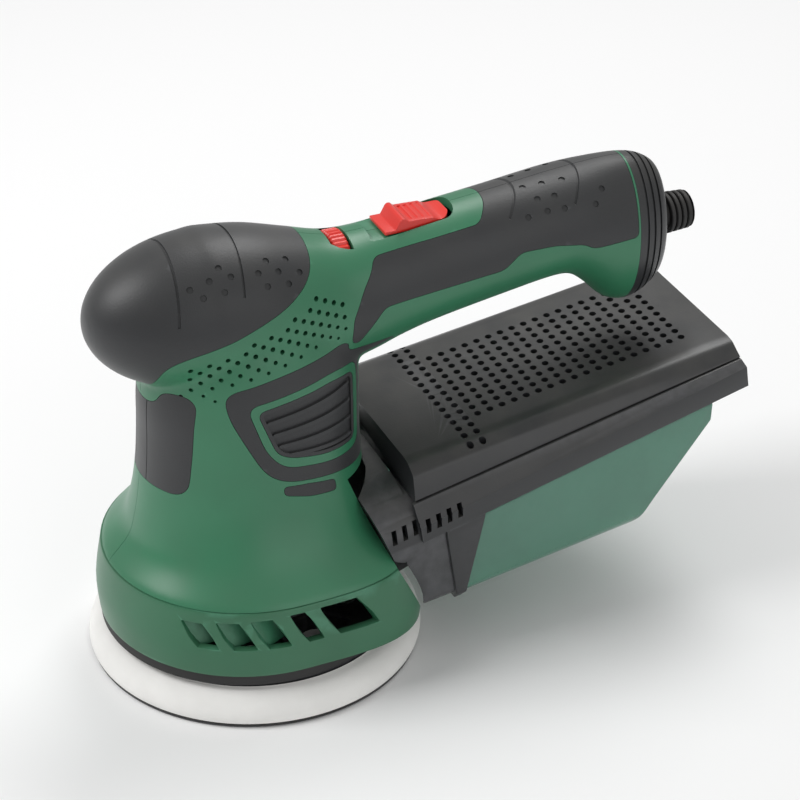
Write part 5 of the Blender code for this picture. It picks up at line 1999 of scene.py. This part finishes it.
    def junction(self, grow: float = 0.0) -> Object:
        """The space of the clear bin: behind the slanted end of the mouth and under the frame.

        Args:
            grow: How far it is moved forwards and up.

        Returns:
            The cutter.
        """
        start, end = 0.0197, self.length + 0.05
        return prism([(start - grow, self.level(self.frame_foot, start, grow)), (0.0054 - grow, -0.0615),
                      (0.0052 - grow, -0.08), (end, -0.08), (end, self.level(self.frame_foot, end, grow))],
                     -0.1, 0.1, self.side)

    def mouth(self) -> None:
        """The black front block with its stepped rims, and the frame round the lid."""
        mouth = bevelled(self.arch(0.0, 0.0035, 0.020), 0.0006, 3, 40)
        for grow, far in ((-0.0014, 0.0040), (-0.0030, -0.0015)):
            join(mouth, bevelled(self.arch(grow, -0.060, far), 0.0005, 3, 40))
        cut(mouth, self.arch(-self.wall - 0.0030, -0.061, 0.030))
        frame = self.tray(self.taper, lambda s: self.level(self.lid_foot, s, -GAP),
                          lambda s: self.level(self.frame_foot, s), (-0.006, self.length))
        for side in (1, -1):
            cut(frame, self.along((-0.02, self.length + 0.01), partial(self.beyond_slope, side)))
        bevelled(frame, 0.0006, 3, 25)
        cut(frame, self.tray(lambda s: self.taper(s) - 0.0052, lambda s: 0.01, lambda s: -0.05,
                             (-0.010, self.length - 0.0040)))
        join(mouth, frame)
        cut(mouth, self.junction())
        join(mouth, self.tray(lambda s: self.taper(s) - 0.001, lambda s: self.level(self.frame_foot, s, 0.0022),
                              lambda s: self.level(self.frame_foot, s), (0.1190, self.length - 0.001)))
        cut(mouth, self.form.before_rear_face(GAP), self.form.bell_body(0.0009, 0.012),
            self.form.top_body(0.0009), self.form.skirt_body(0.0009, 0.01, 0.001),
            self.tray(lambda s: 0.0395, lambda s: 0.01, lambda s: self.level(self.lid_foot, s, -0.0085),
                      (0.0080, 0.1250)),
            self.tray(lambda s: 0.0440, lambda s: 0.01, lambda s: self.level(self.lid_foot, s, -GAP),
                      (-0.0065, 0.021)),
            self.slots())
        self.shop.fit(mouth, "dust_box_front_and_frame", BLACK, Body.DUST_BOX, "dust_box_mouth")

    def beyond_slope(self, side: int, s: float) -> list[Pair]:
        """What is cut off one side of the frame, to leave a sloped band under the lid.

        Args:
            side: 1 on the right, -1 on the left.
            s: Distance along the lid.

        Returns:
            The section of the cutter.
        """
        half, head, foot = self.taper(s), self.level(self.lid_foot, s), self.level(self.band_foot, s)
        return [(side * (half - 0.0040), head + 0.0002), (side * (half + 0.0100), head + 0.0002),
                (side * (half + 0.0100), foot), (side * (half + 0.0001), foot)]

    def slots(self) -> Object:
        """Seven slanted slots along the band's lower edge, on both sides."""
        outline = [(0.0, -0.0032), (0.0019, -0.0032), (0.0026, 0.0020), (0.0007, 0.0020)]
        slot = prism(outline, -0.006, 0.006, along_x)
        spots = []
        for k in range(7):
            s = -0.0170 + self.slot_pitch * k
            for side in (1, -1):
                spots.append(Spot((side * 0.0460, s, self.level(self.band_foot, s))))
        return turned_by(self.shop.patterns.copies(spots, slot), self.tilt())

    # ------------------------------------------------------------ filter and bin
    def filter(self) -> None:
        """The pleated filter in its frame under the lid."""
        def low(s: float) -> float:
            """Level of the frame's lower face."""
            return self.level(self.lid_foot, s, -0.0040)
        frame = self.tray(lambda s: 0.0385, lambda s: low(s) + 0.0020, low, (0.0090, 0.1240))
        cut(frame, self.tray(lambda s: 0.0335, lambda s: 0.02, lambda s: -0.05, (0.0130, 0.1200)))
        self.shop.fit(bevelled(frame, 0.0004), "filter_tray", BLACK, Body.DUST_BOX, "filter_frame")
        start, run = 0.0136, 0.1060
        upper = []
        for k in range(self.folds + 1):
            s = start + run * k / self.folds
            upper.append((s, low(s) + 0.0008 + (0.0022 if k % 2 else -0.0030)))
        lower = [(s, t - 0.0009) for s, t in reversed(upper)]
        paper = prism(upper + lower, -0.0332, 0.0332, self.side)
        self.shop.fit(paper, "pleated_filter", PAPER, Body.DUST_BOX, "filter_element",
                      smooth=math.radians(20))

    def bin(self) -> None:
        """The clear bin, open to the top and to the mouth, with guide ribs inside its sides."""
        def half(s: float) -> float:
            """Half width of the bin."""
            return self.taper(s) - 0.0012
        body = self.tray(half, lambda s: self.level(self.frame_foot, s, -GAP), lambda s: -self.depth,
                         (-0.010, 0.1185), 0.0045, 0.0022)
        rear = [(0.0780, -0.0605), (0.0885, -0.0500), (0.1150, -0.0250), (0.1180, -0.0100), (0.1180, 0.02),
                (0.1500, 0.02), (0.1500, -0.08), (0.0780, -0.08)]
        cut(body, prism(rear, -0.1, 0.1, self.side))
        boolean(body, self.junction(-GAP), Solve.KEEP)
        bevelled(body, 0.0010, 3, 25)
        hollow = self.tray(lambda s: half(s) - self.wall, lambda s: 0.01, lambda s: -self.depth + self.wall,
                           (-0.02, 0.118), 0.004, 0.0015)
        cut(hollow, prism([(a - 0.0028, b) for a, b in rear], -0.1, 0.1, self.side))
        for s in (0.0740, 0.0830, 0.0920):
            for side in (1, -1):
                edge = half(s) - self.wall
                rib = box((side * edge - 0.0007, s, -self.depth), (side * edge + 0.0007, s + 0.0009, 0.02))
                cut(hollow, turned_by(rib, self.tilt()))
        cut(body, hollow)
        self.shop.fit(body, "clear_dust_bin", CLEAR, Body.CONTAINER, "dust_container")


# ================================================================ drive
@dataclass
class Drive:
    """The fan with its balance weight, and the bearing rings."""

    shop: Shop
    blades: int = 12
    # Each bearing ring's node, inner radius, whether its track faces outwards, and body.
    rings: tuple = (("pad_bearing_inner_ring", 0.0050, True, Body.PAD),
                    ("pad_bearing_outer_ring", 0.0095, False, Body.ROTOR),
                    ("lower_bearing_inner_ring", 0.0040, True, Body.ROTOR),
                    ("lower_bearing_outer_ring", 0.0085, False, Body.HOUSING),
                    ("upper_bearing_inner_ring", 0.0035, True, Body.ROTOR),
                    ("upper_bearing_outer_ring", 0.0068, False, Body.HOUSING))

    def build(self) -> None:
        """Makes the fan and the bearing rings."""
        self.fan()
        for node, bore, outward, body in self.rings:
            self.bearing_ring(node, bore, outward, body)

    def fan(self) -> None:
        """The fan disc with curved blades, the eccentric hub and the weight in one casting."""
        low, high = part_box("fan_counterweight")
        seat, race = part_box("pad_bearing_outer_ring"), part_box("pad_bearing_inner_ring")
        rim = high.x
        fan = turned([(0.0, low.z), (0.0166, low.z), (0.0170, low.z + 0.0004), (0.0170, 0.0270),
                      (rim - 0.0003, 0.0270), (rim, 0.0273), (rim, 0.0282), (rim - 0.0003, 0.0285),
                      (0.0178, 0.0285), (0.0174, 0.0289),
                      (0.0165, 0.0340), (0.0160, 0.0343), (0.0090, 0.0355), (0.0085, 0.0382), (0.0082, high.z),
                      (0.0, high.z)])
        path = [(0.0170 + 0.0178 * t, 0.0030 * t * t) for t in (0.0, 0.25, 0.5, 0.75, 1.0)]
        outline = [(a, b - 0.0005) for a, b in path] + [(a, b + 0.0005) for a, b in reversed(path)]
        blade = turned_by(prism(outline, 0.0280, 0.0360, along_z), Matrix.Translation((-0.0262, 0, 0)))
        blades = self.shop.patterns.circle(blade, self.blades, 0.0262)
        join(fan, turned_by(blades, Matrix.Rotation(math.radians(15), 4, "Z")))
        outer = [(0.031 * math.cos(a), 0.031 * math.sin(a))
                 for a in (math.radians(210 + 6 * k) for k in range(21))]
        inner = [(0.016 * math.cos(a), 0.016 * math.sin(a))
                 for a in (math.radians(330 - 6 * k) for k in range(21))]
        join(fan, bevelled(prism(outer + inner, low.z, 0.0275, along_z), 0.0004))
        centre = ((race[0].x + race[1].x) / 2, (race[0].y + race[1].y) / 2)
        shaft = (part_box("motor_shaft")[1].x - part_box("motor_shaft")[0].x) / 2
        cut(fan, disc((seat[1].x - seat[0].x) / 2 + GAP, 0.02, 0.0325, centre, 64), disc(shaft, 0.02, 0.05))
        self.shop.fit(fan, "fan_with_counterweight", NYLON, Body.ROTOR, "fan_counterweight")

    def bearing_ring(self, node: str, bore: float, outward: bool, body: Body) -> None:
        """One bearing ring, with rounded edges and a ball track.

        Args:
            node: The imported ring.
            bore: Its inner radius.
            outward: Whether the track is on its outer face.
            body: The body that it rides on.
        """
        low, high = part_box(node)
        outer, edge, middle = (high.x - low.x) / 2, 0.0003, (low.z + high.z) / 2
        centre = ((low.x + high.x) / 2, (low.y + high.y) / 2)
        track = [(middle + 0.0016 * math.sin(a), 0.0007 * math.cos(a))
                 for a in (math.radians(-90 + 22.5 * k) for k in range(9))]
        right = [(outer - d if outward else outer, z) for z, d in track]
        left = [(bore if outward else bore + d, z) for z, d in reversed(track)]
        profile = [(bore, low.z + edge), (bore + edge, low.z), (outer - edge, low.z), (outer, low.z + edge),
                   *right, (outer, high.z - edge), (outer - edge, high.z), (bore + edge, high.z),
                   (bore, high.z - edge), *left]
        self.shop.fit(turned(profile, centre, 72), f"{node}_with_track", STEEL, body, node)


# ================================================================ inner pieces
class Inside:
    """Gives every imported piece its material; it shows where no finer piece stands for it."""

    BY_SLOT = {finish.slot.value: finish for finish in FINISHES}

    def __init__(self, shop: Shop) -> None:
        """Keeps the shop."""
        self.shop = shop

    def build(self) -> None:
        """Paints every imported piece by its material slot."""
        for part in frame["record"]["subparts"]:
            node = frame["nodes"][part["node"]]
            node.data.materials.clear()
            node.data.materials.append(self.shop.materials.of(self.BY_SLOT[part["material_slot"]]))


# ================================================================ studio
@dataclass
class Studio:
    """Pale floor, soft light and the camera."""

    azimuth: float = 70.3
    elevation: float = 36.4
    distance: float = 1.0
    lens: float = 118.0
    sensor: float = 36.0
    floor: Colour = shade(244, 244, 244)

    def build(self) -> None:
        """Makes the floor, the light and the camera."""
        self.ground()
        self.sky()
        low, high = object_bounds()
        centre = (low + high) / 2
        self.camera(centre)
        self.lamp("key", (-0.25, -0.95, 1.10), centre, 0.7, 11.0)
        self.lamp("fill", (1.3, 0.4, 0.60), centre, 1.1, 3.5)
        self.lamp("top", (-0.5, 0.55, 1.2), centre, 0.6, 7.0)

    def ground(self) -> None:
        """The pale floor."""
        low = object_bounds()[0].z - 0.0002
        plane = prism([(-3, -3), (3, -3), (3, 3), (-3, 3)], low - 0.01, low, along_z)
        plane.name = "floor"
        material = bpy.data.materials.new("pale_floor")
        material.use_nodes = True
        shader = material.node_tree.nodes["Principled BSDF"]
        shader.inputs["Base Color"].default_value = self.floor
        shader.inputs["Roughness"].default_value = 0.7
        plane.data.materials.append(material)
        plane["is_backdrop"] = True

    def sky(self) -> None:
        """Even light from all round."""
        world = bpy.data.worlds.new("studio")
        world.use_nodes = True
        background = world.node_tree.nodes["Background"]
        background.inputs["Color"].default_value = (1.0, 1.0, 1.0, 1.0)
        background.inputs["Strength"].default_value = 0.42
        bpy.context.scene.world = world

    @staticmethod
    def lamp(name: str, place: Point, target: Vector, size: float, watts: float) -> None:
        """A soft square lamp.

        Args:
            name: Its name.
            place: Where it stands.
            target: What it faces.
            size: Its side.
            watts: Its power.
        """
        data = bpy.data.lights.new(name, "AREA")
        data.size = size
        data.energy = watts
        lamp = bpy.data.objects.new(name, data)
        lamp.location = place
        lamp.rotation_euler = (target - Vector(place)).to_track_quat("-Z", "Y").to_euler()
        bpy.context.scene.collection.objects.link(lamp)

    def camera(self, centre: Vector) -> None:
        """The camera, at its bearing and height.

        Args:
            centre: Middle of the object, which it faces.
        """
        a, e = math.radians(self.azimuth), math.radians(self.elevation)
        back = Vector((math.sin(a) * math.cos(e), -math.cos(a) * math.cos(e), math.sin(e)))
        data = bpy.data.cameras.new("view")
        data.sensor_width = self.sensor
        data.lens = self.lens
        camera = bpy.data.objects.new("view", data)
        camera.location = back * self.distance
        camera.rotation_euler = (centre - camera.location).to_track_quat("-Z", "Y").to_euler()
        bpy.context.scene.collection.objects.link(camera)
        bpy.context.scene.camera = camera
        bpy.context.scene.view_settings.view_transform = "Standard"


def main() -> None:
    """Builds every sub-assembly in order."""
    shop = Shop()
    Inside(shop).build()
    housing = Housing(shop)
    for assembly in (housing, Controls(shop), Pad(shop), Drive(shop), DustBox(shop, housing.form)):
        assembly.build()
        LOG.info("%s done", type(assembly).__name__)
    Studio().build()
    LOG.info("%d finished pieces", shop.count)


if __name__ == "__main__":
    logging.basicConfig(level=logging.INFO, format="%(message)s")
    main()
